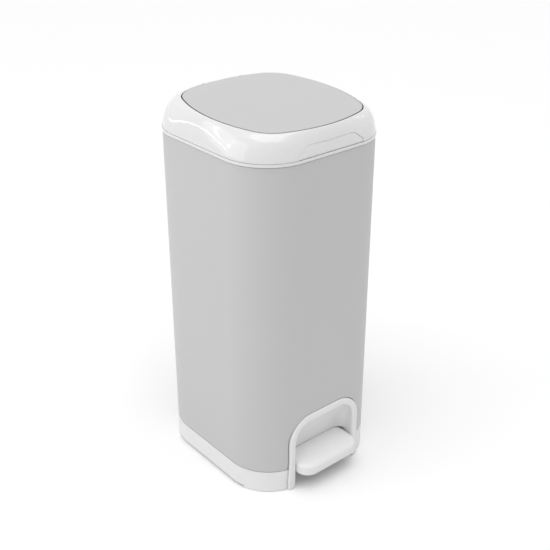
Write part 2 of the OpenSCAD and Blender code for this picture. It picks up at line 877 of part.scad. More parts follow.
module well_plan(grow) {
    translate([0, well_y]) rounded_plan(well_w + 2 * grow, well_w + 2 * grow, well_r + grow);
}

module throat_plan(grow) {
    translate([0, well_y]) rounded_plan(throat_w + 2 * grow, throat_w + 2 * grow, throat_r + grow);
}

lid_ear_x = 8;
lid_ear_w = 12;
post_x = lid_ear_x + lid_ear_w + run_gap;
post_w = 11;

// Posts on the deck that carry the lid's hinge pin
module lid_post(x0, x1) {
    difference() {
        side_extrude(x0, x1) {
            translate([lid_axis_y, lid_axis_z]) circle(r = lid_knuckle_r);
            polygon([[lid_axis_y - lid_knuckle_r, lid_axis_z], [lid_axis_y + lid_knuckle_r, lid_axis_z],
                     [lid_axis_y + 10, deck_top - 1], [lid_axis_y - lid_knuckle_r, deck_top - 1]]);
        }
        x_cylinder(lid_pin_r + eps, x0 - 1, x1 + 1, lid_axis_y, lid_axis_z);
    }
}

deck_inset = head_wall + 1.6;

module head_deck() {
    color("gainsboro")
        difference() {
            union() {
                translate([0, 0, deck_z]) linear_extrude(height = deck_t) body_plan(deck_inset);
                // Refill well with its rim above the deck
                translate([0, 0, well_floor - 2.5])
                    linear_extrude(height = rim_z - well_floor + 2.5) well_plan(0);
                // Tab and middle knuckle of the head's hinge
                translate([-knuckle_w / 2, rear_y - 8, deck_z])
                    cube([knuckle_w, axis_y - rear_y + 8, deck_t]);
                x_cylinder(knuckle_r, -knuckle_w / 2, knuckle_w / 2, axis_y, axis_z);
                for (side = [0, 1])
                    mirror([side, 0, 0]) lid_post(post_x, post_x + post_w);
            }
            translate([0, 0, well_floor]) linear_extrude(height = far) well_plan(-well_wall);
            translate([0, 0, well_floor - 10]) linear_extrude(height = 20) throat_plan(-1);
            // Slot that the lift rod passes through, open as far as the tilting head needs
            translate([-slot_half, slot_front, deck_z - 10])
                cube([2 * slot_half, strip_y + rod_t / 2 + 1 - slot_front, 20]);
            // Front cut-out behind the release button
            translate([-button_w / 2 - 3, front_y - 1, deck_z - 1])
                cube([button_w + 6, hook_y + hook_t + button_travel + run_gap - front_y + 1, deck_t + 2]);
            x_cylinder(hinge_pin_r + pin_fit, -knuckle_w, knuckle_w, axis_y, axis_z);
        }
}

module lid_hinge_pin() {
    color("lightsteelblue")
        x_cylinder(lid_pin_r, -post_x - post_w, post_x + post_w, lid_axis_y, lid_axis_z);
}

module cassette_plan(inset) {
    translate([0, well_y])
        rounded_plan(cassette_w - 2 * inset, cassette_w - 2 * inset, cassette_r - inset);
}

cassette_z = well_floor + seat_fit;
cassette_wall = 1.8;

module refill_cassette() {
    color("lightcyan")
        difference() {
            translate([0, 0, cassette_z]) linear_extrude(height = cassette_h) cassette_plan(0);
            translate([0, 0, cassette_z - 1]) linear_extrude(height = cassette_h + 2) throat_plan(0);
            // Trough that holds the film, open round the inner edge of its top
            difference() {
                translate([0, 0, cassette_z + cassette_wall])
                    linear_extrude(height = cassette_h) cassette_plan(cassette_wall);
                translate([0, 0, cassette_z])
                    linear_extrude(height = cassette_h - 5) throat_plan(cassette_wall);
            }
        }
}

module film_pack() {
    color("aliceblue")
        translate([0, 0, cassette_z + cassette_wall + seat_fit])
            linear_extrude(height = cassette_h - 10)
                difference() {
                    cassette_plan(cassette_wall + 0.5);
                    throat_plan(cassette_wall + 0.5);
                }
}

// Film clamp under the refill well

module clamp_plan(inset) {
    translate([0, well_y])
        rounded_plan(2 * (clamp_half_x - inset), 2 * (clamp_half_y - inset), 12 - inset);
}

module clamp_frame() {
    color("gainsboro")
        difference() {
            union() {
                translate([0, 0, clamp_z]) linear_extrude(height = clamp_h) clamp_plan(0);
                translate([0, 0, clamp_top - 2.5]) linear_extrude(height = 2.5) clamp_plan(-5);
            }
            translate([0, 0, clamp_z - 1]) linear_extrude(height = clamp_h + 2) clamp_plan(clamp_wall);
            for (x = [-1, 1])
                y_cylinder(jaw_pin_r + eps, well_y - clamp_half_y - 1, well_y + clamp_half_y + 1,
                           x * jaw_axis_x, jaw_axis_z);
        }
}

module jaw_pin(x) {
    color("lightsteelblue")
        y_cylinder(jaw_pin_r, well_y - clamp_half_y, well_y + clamp_half_y, x * jaw_axis_x, jaw_axis_z);
}

module jaw_pin_left() { jaw_pin(-1); }
module jaw_pin_right() { jaw_pin(1); }

module jaw_spring(x) {
    color("lightsteelblue")
        translate([x * jaw_axis_x, well_y + spring_half - 1.5, jaw_axis_z])
            rotate([90, 0, 0]) coil(jaw_pin_r + 1.1, 0.6, 2 * spring_half - 3, 6);
}

module jaw_spring_left() { jaw_spring(-1); }
module jaw_spring_right() { jaw_spring(1); }

// One flap of the clamp, with its hub split round the spring
module clamp_jaw(x) {
    tip = jaw_gap + lip_w;
    plate_l = jaw_axis_x - tip;
    under = jaw_axis_z - jaw_hub_r;
    color("gainsboro")
        mirror([x > 0 ? 1 : 0, 0, 0])
            difference() {
                union() {
                    for (end = [[-jaw_half, -spring_half], [spring_half, jaw_half]])
                        y_cylinder(jaw_hub_r, well_y + end[0], well_y + end[1], -jaw_axis_x, jaw_axis_z);
                    translate([-jaw_axis_x, well_y - jaw_half, under]) cube([plate_l, 2 * jaw_half, jaw_t]);
                    for (k = [-2 : 2])
                        translate([jaw_rib_in - jaw_axis_x, well_y + k * jaw_half * 0.42 - 1,
                                   under - jaw_rib_h])
                            cube([plate_l - jaw_rib_in - 2 * jaw_rib_h, 2, jaw_rib_h + 1]);
                }
                y_cylinder(jaw_pin_r + pin_fit, well_y - jaw_half - 1, well_y + jaw_half + 1,
                           -jaw_axis_x, jaw_axis_z);
                // Gap in the hub for the torsion spring
                translate([-jaw_axis_x - 2 * jaw_hub_r, well_y - spring_half, under - jaw_hub_r])
                    cube([3 * jaw_hub_r + 1, 2 * spring_half, 4 * jaw_hub_r]);
            }
}

module clamp_jaw_left() { clamp_jaw(-1); }
module clamp_jaw_right() { clamp_jaw(1); }

// Soft lip along a jaw's tip, which pinches the film
module jaw_lip(x) {
    color("dimgray")
        mirror([x > 0 ? 1 : 0, 0, 0])
            translate([-jaw_gap - lip_w, well_y - jaw_half, jaw_axis_z - jaw_hub_r])
                union() {
                    cube([lip_w, 2 * jaw_half, jaw_t]);
                    translate([lip_w - lip_t_soft, 0, -jaw_rib_h])
                        cube([lip_t_soft, 2 * jaw_half, jaw_rib_h + jaw_t]);
                }
}

module jaw_lip_left() { jaw_lip(-1); }
module jaw_lip_right() { jaw_lip(1); }

// Guarded blade on the front of the clamp frame, for cutting the film off
module film_cutter() {
    y1 = well_y - clamp_half_y - seat_fit;
    color("gainsboro")
        side_extrude(-cutter_half, cutter_half)
            difference() {
                translate([y1 - cutter_d, clamp_z + 1]) square([cutter_d, cutter_h]);
                translate([y1 - 0.7 * cutter_d, clamp_z]) square([cutter_d / 3, 0.75 * cutter_h]);
            }
}

// Release button: a plate flush with the head's front, with guides and a hook inside
catch_half = 14;
catch_h = 5;
catch_z = seam_z - 16;
hook_y = front_y + base_wall + 0.9;
hook_t = 2;
tongue_x = 36;
tongue_z = 7;
tongue_w = 10;
tongue_l = 6;
tongue_t = 1.2;

module release_button() {
    color("white")
        union() {
            intersection() {
                loft_loop(concat(button_rings(button_inset),
                                 reversed(button_rings(button_inset + button_t))));
                front_extrude(front_y - 5, front_y + 30) button_clear_face();
            }
            // Hook, hanging inside the collar
            translate([1 - catch_half, hook_y, catch_z + 1])
                cube([2 * catch_half - 2, hook_t, head_z + 2 * hook_t - catch_z]);
            translate([1 - catch_half, front_y + button_inset + button_t / 2, head_z + hook_t])
                cube([2 * catch_half - 2, hook_y - front_y, hook_t + 1]);
            // Moulded spring tongues
            for (x = [-1, 1])
                translate([x * tongue_x - tongue_w / 2, front_y + button_inset, head_z + tongue_z])
                    union() {
                        translate([0, button_t - 0.5, 0]) cube([tongue_w, tongue_l + 0.5, tongue_t]);
                        translate([0, button_t + tongue_l - tongue_t, 0])
                            cube([tongue_w, tongue_t, tongue_l]);
                    }
        }
}

function button_rings(inset) =
    [for (ring = shoulder_rings(0, 0, 10)) [for (p = ring) p + [0, p[1] < 0 ? inset : -inset, 0]]];

module button_clear_face() {
    difference() {
        button_face(-run_gap);
        translate([-button_w, head_z - 5]) square([2 * button_w, 5]);
    }
}

// Lid

module lid_panel() {
    under = -lid_t;
    crown = [for (s = [0.93, 0.8, 0.6, 0.35, 0.12])
        [for (p = lid_outline(-lid_edge_r)) on_lid_plane(p * s, crown_h * (1 - pow(s, 2)))]];
    color("silver")
        loft(concat(
            [[for (p = lid_outline(-0.5)) on_lid_plane(p, under)],
             [for (p = lid_outline(0)) on_lid_plane(p, under + 0.5)],
             [for (p = lid_outline(0)) on_lid_plane(p, -lid_edge_r)]],
            [for (t = [30, 60, 90])
                [for (p = lid_outline(-lid_edge_r * (1 - cos(t))))
                    on_lid_plane(p, -lid_edge_r * (1 - sin(t)))]],
            crown
        ));
}

// Outline of the lid shrunk by inset
module lid_plan(inset) {
    polygon(lid_outline(-inset));
}

// Involute flank of the lobe: its lowest point stays over the rod as the lid turns
function lobe_point(t) =
    let (h = lobe_drop - lobe_arm * t * PI / 180)
    [lid_axis_y - lobe_arm * cos(t) + h * sin(t), lid_axis_z - lobe_arm * sin(t) - h * cos(t)];

lobe_half = 3.5;

module lift_lobe() {
    flank = [for (t = [-6 : 6 : lid_angle + 6]) lobe_point(t)];
    side_extrude(-lobe_half, lobe_half)
        polygon(concat(flank, [[lid_axis_y + 1, lid_axis_z - 4], [lid_axis_y - 8, lid_axis_z - 3],
                               [lid_axis_y - 15, lid_axis_z - 3], [lid_axis_y - 15, lid_axis_z - 11]]));
}

module lid_ear(x0, x1) {
    side_extrude(x0, x1) {
        translate([lid_axis_y, lid_axis_z]) circle(r = lid_knuckle_r);
        polygon([[lid_axis_y, lid_axis_z + lid_knuckle_r - 2.4], [lid_axis_y, lid_axis_z - lid_knuckle_r],
                 [lid_axis_y - 15, lid_axis_z - 7], [lid_axis_y - 15, lid_axis_z - 1]]);
    }
}

module gasket_plan(out, width) {
    difference() {
        well_plan(out);
        well_plan(out - width);
    }
}

module lid_frame() {
    gasket_top = rim_z + 6;
    color("white")
        difference() {
            union() {
                lid_plane()
                    translate([0, 0, -lid_under - plate_t])
                        linear_extrude(height = plate_t) lid_plan(frame_inset);
                lid_plane()
                    translate([0, 0, -lid_under - frame_skirt])
                        linear_extrude(height = frame_skirt)
                            difference() {
                                lid_plan(frame_inset);
                                lid_plan(frame_inset + 2);
                            }
                // Rib that carries the gasket, cut off under the panel
                difference() {
                    translate([0, 0, gasket_top]) linear_extrude(height = 40) gasket_plan(1, 4.2);
                    lid_plane() translate([-far, -far, -lid_under - 1]) cube([2 * far, 2 * far, far]);
                }
                lid_plane()
                    translate([0, filter_y, -lid_under - filter_t - 3])
                        linear_extrude(height = filter_t + 3)
                            difference() {
                                circle(r = filter_r + 0.4 + filter_wall);
                                circle(r = filter_r + 0.4);
                            }
                for (side = [0, 1])
                    mirror([side, 0, 0]) lid_ear(lid_ear_x, lid_ear_x + lid_ear_w);
                lift_lobe();
            }
            x_cylinder(lid_pin_r + pin_fit, -far / 2, far / 2, lid_axis_y, lid_axis_z);
        }
}

module lid_gasket() {
    color("dimgray")
        translate([0, 0, rim_z + rest_gap])
            linear_extrude(height = 6 - rest_gap - seat_fit) gasket_plan(1.5, 5.2);
}

module carbon_filter() {
    color("dimgray")
        lid_plane()
            translate([0, filter_y, -lid_under - plate_t - seat_fit - (filter_t - plate_t)])
                cylinder(r = filter_r, h = filter_t - plate_t);
}

module filter_cover() {
    z = -lid_under - filter_t - 3 - seat_fit - cover_t;
    color("white")
        lid_plane()
            difference() {
                union() {
                    translate([0, filter_y, z]) cylinder(r = filter_r + 0.4 + filter_wall, h = cover_t);
                    translate([0, filter_y, z]) cylinder(r = filter_r - 1, h = cover_t + 2.9);
                }
                for (k = [-3 : 3])
                    translate([k * 8 - 2, filter_y - sqrt(pow(filter_r - 5, 2) - pow(k * 8, 2)), z - 1])
                        cube([4, 2 * sqrt(pow(filter_r - 5, 2) - pow(k * 8, 2)), 10]);
            }
}

// The modules above keep the body's middle at y = 0; this puts the whole bin's middle there
front_end = pad_rear_y - pad_l * cos(pad_slope) + (pad_round + pad_edge) * sin(pad_slope);
rear_end = axis_y + knuckle_r;

module place() {
    translate([0, -(front_end + rear_end) / 2, 0]) children();
}

place() body_shell();
place() base();
place() inner_floor();
place() pedal_surround();
place() rod_guide();
place() collar();
place() head_hinge_pin();
place() pedal_pin();
place() pedal_spring();
place() foot_front_left();
place() foot_front_right();
place() foot_rear_left();
place() foot_rear_right();
place() pedal_pad();
place() pedal_lever();
place() push_rod();
place() head_shell();
place() head_deck();
place() lid_hinge_pin();
place() refill_cassette();
place() film_pack();
place() clamp_frame();
place() jaw_pin_left();
place() jaw_pin_right();
place() jaw_spring_left();
place() jaw_spring_right();
place() film_cutter();
place() release_button();
place() clamp_jaw_left();
place() jaw_lip_left();
place() clamp_jaw_right();
place() jaw_lip_right();
place() lid_panel();
place() lid_frame();
place() lid_gasket();
place() carbon_filter();
place() filter_cover();
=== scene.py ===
"""Dresses the packed pedal nappy bin: fine shells for what shows, and a finish for every piece."""
import json
import math

import bmesh
import bpy
from bpy.props import FloatProperty, FloatVectorProperty, IntProperty, PointerProperty
from bpy.types import Operator, Panel, PropertyGroup
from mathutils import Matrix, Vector
from mathutils.bvhtree import BVHTree
from mathutils.interpolate import poly_3d_calc


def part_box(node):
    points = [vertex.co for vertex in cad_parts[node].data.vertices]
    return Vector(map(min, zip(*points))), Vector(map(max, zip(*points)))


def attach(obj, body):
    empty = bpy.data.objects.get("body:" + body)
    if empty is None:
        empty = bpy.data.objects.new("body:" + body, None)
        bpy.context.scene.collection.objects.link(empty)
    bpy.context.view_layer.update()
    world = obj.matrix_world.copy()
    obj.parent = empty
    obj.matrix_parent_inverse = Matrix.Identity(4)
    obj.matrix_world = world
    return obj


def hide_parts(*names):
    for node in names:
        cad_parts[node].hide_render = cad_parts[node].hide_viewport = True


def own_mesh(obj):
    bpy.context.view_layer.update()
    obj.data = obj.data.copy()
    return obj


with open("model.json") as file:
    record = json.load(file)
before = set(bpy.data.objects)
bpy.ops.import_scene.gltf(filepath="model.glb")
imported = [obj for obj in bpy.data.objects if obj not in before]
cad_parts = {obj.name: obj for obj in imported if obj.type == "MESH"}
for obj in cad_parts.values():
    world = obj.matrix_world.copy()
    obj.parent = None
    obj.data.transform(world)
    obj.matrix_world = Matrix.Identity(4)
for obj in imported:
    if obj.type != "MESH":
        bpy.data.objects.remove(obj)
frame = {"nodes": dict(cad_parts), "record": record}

bl_info = {
    "name": "Pedal Nappy Bin",
    "version": (1, 0, 0),
    "blender": (4, 5, 0),
    "location": "View3D > Sidebar > Nappy Bin",
    "description": "Dresses the CAD frame of a pedal nappy bin with fine shells and finishes",
    "category": "Add Mesh",
}

SLOTS = {part["node"]: part["material_slot"] for part in frame["record"]["subparts"]}
BODIES = {node: body for body, nodes in frame["record"]["behaviour"]["bodies"].items()
          for node in nodes}
REPLACED = ("base", "body_shell", "pedal_surround", "pedal_pad", "head_shell", "release_button",
            "lid_panel", "film_pack", "carbon_filter", "pedal_spring")

BODY_LOW, BODY_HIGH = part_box("body_shell")
PAD_LOW, PAD_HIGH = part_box("pedal_pad")
ARCH_LOW, ARCH_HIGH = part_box("pedal_surround")
HEAD_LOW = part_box("head_shell")[0]
LID_PIN_LOW, LID_PIN_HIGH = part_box("lid_hinge_pin")
MIDDLE_Y = (BODY_LOW.y + BODY_HIGH.y) / 2   # outlines are drawn about the body's middle

QUARTER = math.pi / 2
SIDE_STEPS = 10         # steps along half a side of an outline
CORNER_STEPS = 22       # steps round a corner of an outline
STRAIGHT = 20.0         # a side bowed with this radius is straight to the eye
HAIR = 0.0003           # small step that keeps two surfaces apart
PAD_TOP = PAD_HIGH.z + HAIR
BAND_BACK = 0.007       # reach of the arch's band behind the body's front
LIP_DROP = 0.0004       # depth of the head's lip below the lid's plane
SHOULDER_POWER = 1.2    # above 1, the head's shoulder starts steeper


# Sizes and colours that a user may change

def length(name, value, description):
    return FloatProperty(name=name, description=description, default=value, unit="LENGTH", precision=4)


def how_many(name, value, lowest, highest, description):
    return IntProperty(name=name, description=description, default=value, min=lowest, max=highest)


def number(name, value, description, subtype="NONE"):
    return FloatProperty(name=name, description=description, default=value, subtype=subtype)


def vector(name, value, description, subtype="XYZ", unit="NONE"):
    return FloatVectorProperty(name=name, description=description, default=value, size=3,
                               subtype=subtype, unit=unit)


def colour(name, value, description):
    return FloatVectorProperty(name=name, description=description, default=[value] * 3,
                               subtype="COLOR", size=3, min=0.0, max=1.0)


class BinBodySizes(PropertyGroup):
    """Sizes of the lower housing."""
    width: length("Width", BODY_HIGH.x - BODY_LOW.x, "Width of the body")
    depth: length("Depth", BODY_HIGH.y - BODY_LOW.y, "Depth of the body")
    corner_radius: length("Corner radius", 0.074, "Radius of the body's upright corners")
    wall: length("Wall", 0.0024, "Wall of the body shell")
    edge_round: length("Edge round", 0.0006, "Rounding of the shell's edges")
    arch_width: length("Arch width", ARCH_HIGH.x - ARCH_LOW.x, "Outer width of the arch")
    arch_height: length("Arch height", ARCH_HIGH.z, "Height of the arch")
    arch_radius: length("Arch radius", 0.043, "Outer radius of the arch's corners")
    arch_band: length("Arch band", 0.0115, "Width of the arch's band")
    arch_proud: length("Arch proud", 0.0025, "How far the band stands in front of the body")
    arch_foot: length("Arch foot", 0.008, "Rounding of the inner corners at the feet of the arch")
    arch_flare: length("Arch flare", 0.0025, "How much wider each leg of the arch is at its foot")
    seam: length("Seam", 0.0009, "Shadow gap round the body skin, at the arch and over the base")
    base_lift: length("Base lift", 0.0046, "Height of the base's lower edges between its corners")
    base_lift_length: length("Base lift length", 0.172, "Length of the raised lower edge on each side")
    recess_bend: length("Recess bend", 0.150, "Radius of the recess panel's curve")
    recess_fillet: length("Recess fillet", 0.018, "Rounding between the recess panel and its walls")
    recess_gap: length("Recess gap", 0.0007, "Gap between the pedal pad and the recess panel")


class BinHeadSizes(PropertyGroup):
    """Sizes of the head, its lid and its front plaque."""
    rim_side: length("Rim, side", 0.0146, "Width of the head's rim beside the lid")
    rim_front: length("Rim, front", 0.0107, "Width of the head's rim in front of the lid")
    rim_rear: length("Rim, rear", 0.0273, "Width of the head's rim behind the lid")
    lid_rise: length("Lid rise", 0.0454, "Height of the lid's edge above the body's top edge")
    lid_tilt: number("Lid tilt", math.radians(2.4), "Slope of the lid up to its rear", "ANGLE")
    lid_radius: length("Lid radius", 0.046, "Corner radius of the lid")
    lid_bow: length("Lid bow", 0.223, "Radius of the lid's bowed sides")
    lid_gap: length("Lid gap", 0.0016, "Gap round the lid")
    lid_crown: length("Lid crown", 0.0017, "Height of the lid's crown")
    plaque_width: length("Plaque width", 0.120, "Width of the front plaque at the seam")
    plaque_top: length("Plaque top", 0.084, "Width of the front plaque's top edge")
    plaque_height: length("Plaque height", 0.0178, "Height of the front plaque")


class BinPedalSizes(PropertyGroup):
    """Sizes of the pedal pad."""
    width: length("Width", PAD_HIGH.x - PAD_LOW.x, "Width of the pad")
    length: length("Length", 0.060, "Length of the pad")
    thickness: length("Thickness", 0.0208, "Thickness of the pad at its rear edge")
    front_radius: length("Front radius", 0.023, "Radius of the pad's front corners")
    rear_radius: length("Rear radius", 0.014, "Radius of the pad's rear corners")
    edge_round: length("Edge round", 0.007, "Rounding of the pad's upper edge")
    slope: number("Slope", math.radians(1), "Slope of the pad down to its front", "ANGLE")


class BinFilmSizes(PropertyGroup):
    """Sizes of the gathered film in the refill."""
    outer_radius: length("Outer radius", 0.0257, "Corner radius of the pack's outside")
    opening: length("Opening", 0.1266, "Width of the pack's opening")
    opening_radius: length("Opening radius", 0.0423, "Corner radius of the opening")
    fold_depth: length("Fold depth", 0.0022, "Depth of the valleys between the folds")
    folds: how_many("Folds", 8, 2, 16, "Folds that show side by side")


class BinInnerSizes(PropertyGroup):
    """Sizes of the finer inner pieces."""
    spring_wire: length("Spring wire", 0.0018, "Wire diameter of the pedal's return spring")
    spring_turns: how_many("Spring turns", 5, 2, 12, "Open turns of the return spring")


class BinColours(PropertyGroup):
    """Colours of the finishes."""
    body: colour("Body", 0.538, "Matte grey of the body shell")
    lid: colour("Lid", 0.545, "Matte grey of the lid")
    head: colour("Head", 0.751, "Glossy white of the head")
    base: colour("Base", 0.783, "Satin white of the base and the arch")
    pedal: colour("Pedal", 0.80, "Satin white of the pedal")
    inner: colour("Inner pieces", 0.42, "Grey of the inner pieces")


class BinStageSettings(PropertyGroup):
    """Camera, lamps and floor."""
    camera_place: vector("Camera place", (-0.8405, -1.0171 + MIDDLE_Y, 0.9937),
                         "Where the camera stands", unit="LENGTH")
    camera_aim: vector("Camera aim", (0.5699, 0.6790, -0.4628), "Direction in which it looks")
    focal_length: number("Focal length", 61.78, "Focal length in millimetres")
    overhead: number("Overhead light", 1.61, "Strength of the wide light from above")
    side_power: number("Side lamp", 8.0, "Power of the large lamp on the left", "POWER")
    strip_power: number("Strip lamps", 0.5, "Power of each strip that the head mirrors", "POWER")
    room_light: number("Room light", 0.51, "Strength of the light from all round")
    floor: colour("Floor", 0.90, "Pale floor")


GROUPS = {
    "bin_body": BinBodySizes,
    "bin_head": BinHeadSizes,
    "bin_pedal": BinPedalSizes,
    "bin_film": BinFilmSizes,
    "bin_inner": BinInnerSizes,
    "bin_colours": BinColours,
    "bin_stage": BinStageSettings,
}


# Shader expressions

class Wire:
    """A socket of a shader tree that works in Python expressions."""

    def __init__(self, tree, socket=None):
        self.tree = tree
        self.socket = socket

    def node(self, kind, settings=None, values=None, output=0):
        """Adds a node: its settings first, then the values or links of its sockets."""
        made = self.tree.nodes.new("ShaderNode" + kind)
        for name, value in (settings or {}).items():
            setattr(made, name, value)
        for name, value in (values or {}).items():
            if isinstance(value, Wire):
                self.tree.links.new(value.socket, made.inputs[name])
            else:
                made.inputs[name].default_value = value
        return Wire(self.tree, made.outputs[output])

    def maths(self, operation, *terms):
        return self.node("Math", {"operation": operation}, dict(enumerate(terms)))

    def vectors(self, operation, *terms):
        return self.node("VectorMath", {"operation": operation}, dict(enumerate(terms)))

    def mixed(self, factor, low, high):
        """Colour between low and high."""
        return self.node("Mix", {"data_type": "RGBA"}, {0: factor, 6: low, 7: high}, 2)

    def feed(self, shader, name):
        self.tree.links.new(self.socket, shader.inputs[name])

    def __add__(self, other):
        return self.maths("ADD", self, other)

    def __radd__(self, other):
        return self.maths("ADD", other, self)

    def __sub__(self, other):
        return self.maths("SUBTRACT", self, other)

    def __rsub__(self, other):
        return self.maths("SUBTRACT", other, self)

    def __mul__(self, other):
        return self.maths("MULTIPLY", self, other)

    def __rmul__(self, other):
        return self.maths("MULTIPLY", other, self)


# Finishes

def new_finish(name):
    """A material with its shader, a wire for its tree and the place on the piece."""
    material = bpy.data.materials.new(name)
    material.use_nodes = True
    wire = Wire(material.node_tree)
    shader = material.node_tree.nodes["Principled BSDF"]
    return material, shader, wire, wire.node("TexCoord", output="Object")


def grey(value):
    return [value] * 3 + [1.0]


def noise(wire, place, scale, detail=2.0, roughness=0.5):
    return wire.node("TexNoise", values={"Vector": place, "Scale": scale, "Detail": detail,
                                         "Roughness": roughness})


def bump(wire, shader, strength, distance, height):
    wire.node("Bump", values={"Strength": strength, "Distance": distance, "Height": height}).feed(
        shader, "Normal")


def moulded_plastic(name, tone, roughness, grain=0.00002, grain_scale=1500.0, coat=0.0, mottle=0.03):
    """Moulded plastic: slow drift of tone, uneven gloss and the fine grain of the tool."""
    material, shader, wire, place = new_finish(name)
    drift = noise(wire, place, 7.0)
    low = [c * (1 - mottle) for c in tone] + [1.0]
    high = [min(1.0, c * (1 + mottle)) for c in tone] + [1.0]
    wire.mixed(drift, low, high).feed(shader, "Base Color")
    sheen = noise(wire, place, 45.0, 3.0)
    (roughness + (sheen - 0.5) * min(0.10, roughness * 0.5)).feed(shader, "Roughness")
    pits = noise(wire, place, grain_scale, 3.0, 0.6)
    ripple = noise(wire, place, 60.0, 1.0)
    bump(wire, shader, 0.6, grain, pits + ripple * 0.6)
    shader.inputs["Coat Weight"].default_value = coat
    shader.inputs["Coat Roughness"].default_value = 0.035
    return material


def soft_rubber(name, tone):
    """Dark matt rubber with a little dust."""
    material, shader, wire, place = new_finish(name)
    dust = noise(wire, place, 90.0, 4.0, 0.65)
    wire.mixed(dust, grey(tone * 0.75), grey(tone * 1.35)).feed(shader, "Base Color")
    (0.62 + dust * 0.2).feed(shader, "Roughness")
    bump(wire, shader, 0.5, 0.00003, noise(wire, place, 2200.0, 2.0))
    return material


def drawn_steel(name, tone):
    """Bright drawn wire, with fine scratches along X."""
    material, shader, wire, place = new_finish(name)
    streak = noise(wire, wire.vectors("MULTIPLY", place, (60.0, 2600.0, 2600.0)), 1.0)
    wire.mixed(streak, grey(tone * 0.9), grey(tone * 1.1)).feed(shader, "Base Color")
    (0.18 + streak * 0.16).feed(shader, "Roughness")
    bump(wire, shader, 0.3, 0.00001, streak)
    shader.inputs["Metallic"].default_value = 1.0
    return material


def carbon_felt(name):
    """Granules of carbon held in a dark felt."""
    material, shader, wire, place = new_finish(name)
    cells = wire.node("TexVoronoi", values={"Vector": place, "Scale": 620.0})
    fibres = noise(wire, place, 1500.0, 4.0, 0.7)
    wire.mixed(cells, [0.012, 0.012, 0.013, 1.0], [0.07, 0.07, 0.075, 1.0]).feed(shader, "Base Color")
    (0.55 + fibres * 0.4).feed(shader, "Roughness")
    bump(wire, shader, 0.9, 0.0004, cells + fibres * 0.3)
    return material


def folded_film(name):
    """Thin bluish film, gathered in fine pleats round the cassette."""
    material, shader, wire, place = new_finish(name)
    creases = wire.node("TexWave", {"bands_direction": "Z"},
                        {"Vector": place, "Scale": 260.0, "Distortion": 3.0, "Detail": 3.0})
    clouds = noise(wire, place, 30.0, 3.0)
    wire.mixed(clouds, [0.66, 0.74, 0.82, 1.0], [0.80, 0.86, 0.92, 1.0]).feed(shader, "Base Color")
    (0.18 + clouds * 0.2).feed(shader, "Roughness")
    bump(wire, shader, 0.8, 0.0003, creases + clouds * 0.5)
    return material


FINISHES = {}


def make_finishes():
    """One material for each slot of the record."""
    tones = bpy.context.scene.bin_colours
    cassette = [0.62, 0.74, 0.80]
    return {
        "grey_shell": moulded_plastic("body grey", tones.body, 0.46, grain=0.00003, mottle=0.012),
        "grey_lid": moulded_plastic("lid grey", tones.lid, 0.42, grain=0.00003, mottle=0.012),
        "white_gloss": moulded_plastic("head white", tones.head, 0.10, grain=0.000004,
                                       grain_scale=500.0, coat=0.5, mottle=0.008),
        "white_satin": moulded_plastic("base white", tones.base, 0.38, mottle=0.012),
        "pedal_white": moulded_plastic("pedal white", tones.pedal, 0.42, mottle=0.012),
        "inner_white": moulded_plastic("inner white", tones.base, 0.48, mottle=0.02),
        "inner_grey": moulded_plastic("inner grey", tones.inner, 0.5, mottle=0.03),
        "cassette": moulded_plastic("cassette blue", cassette, 0.4, mottle=0.02),
        "film": folded_film("folded film"),
        "carbon": carbon_felt("carbon felt"),
        "rubber": soft_rubber("soft rubber", 0.06),
        "steel": drawn_steel("drawn steel", 0.62),
        "spring_steel": drawn_steel("spring steel", 0.45),
    }


def finish_for(slot):
    """The material of a slot, made with the others at the first call."""
    if not FINISHES:
        FINISHES.update(make_finishes())
    return FINISHES[slot]


# Outlines

def spaced(first, last, count):
    """Numbers from first to last in count even steps."""
    return [first + (last - first) * i / count for i in range(count + 1)]


def arc(x, y, radius, first, last, count):
    """Points on an arc about (x, y) from one angle to another, in count steps."""
    return [(x + radius * math.cos(t), y + radius * math.sin(t)) for t in spaced(first, last, count)]


def bow_corner(half_x, half_y, radius, bow):
    """Centre of the corner arc of a rounded rectangle whose sides bow outwards."""
    ax, ay = 0.0, half_y - bow
    bx, by = half_x - bow, 0.0
    vx, vy = bx - ax, by - ay
    span = math.hypot(vx, vy)
    rise = math.sqrt((bow - radius) ** 2 - span * span / 4)
    return (ax + bx) / 2 + vy / span * rise, (ay + by) / 2 - vx / span * rise


def bowed_outline(half_x, half_y, radius, bow):
    """Points round a rectangle with bowed sides and rounded corners, anticlockwise from +X."""
    cx, cy = bow_corner(half_x, half_y, radius, bow)
    a0 = math.atan2(cy, cx - half_x + bow)
    a1 = math.atan2(cy - half_y + bow, cx)
    quarter = arc(half_x - bow, 0, bow, 0, a0, SIDE_STEPS)[:-1]
    quarter += arc(cx, cy, radius, a0, a1, CORNER_STEPS)[:-1]
    quarter += arc(0, half_y - bow, bow, a1, QUARTER, SIDE_STEPS)
    back = quarter[:0:-1]
    return (quarter[:-1] + [(-x, y) for x, y in back] + [(-x, -y) for x, y in quarter[:-1]]
            + [(x, -y) for x, y in back])


def body_outline(inset):
    """The body's outline in plan, drawn in by an inset."""
    sizes = bpy.context.scene.bin_body
    return bowed_outline(sizes.width / 2 - inset, sizes.depth / 2 - inset,
                         sizes.corner_radius - inset, STRAIGHT)


def lid_outline(out):
    """The lid's outline in its own plane, let out by a distance."""
    body, head = bpy.context.scene.bin_body, bpy.context.scene.bin_head
    return bowed_outline(body.width / 2 - head.rim_side + out,
                         (body.depth - head.rim_front - head.rim_rear) / 2 + out,
                         head.lid_radius + out, head.lid_bow + out)


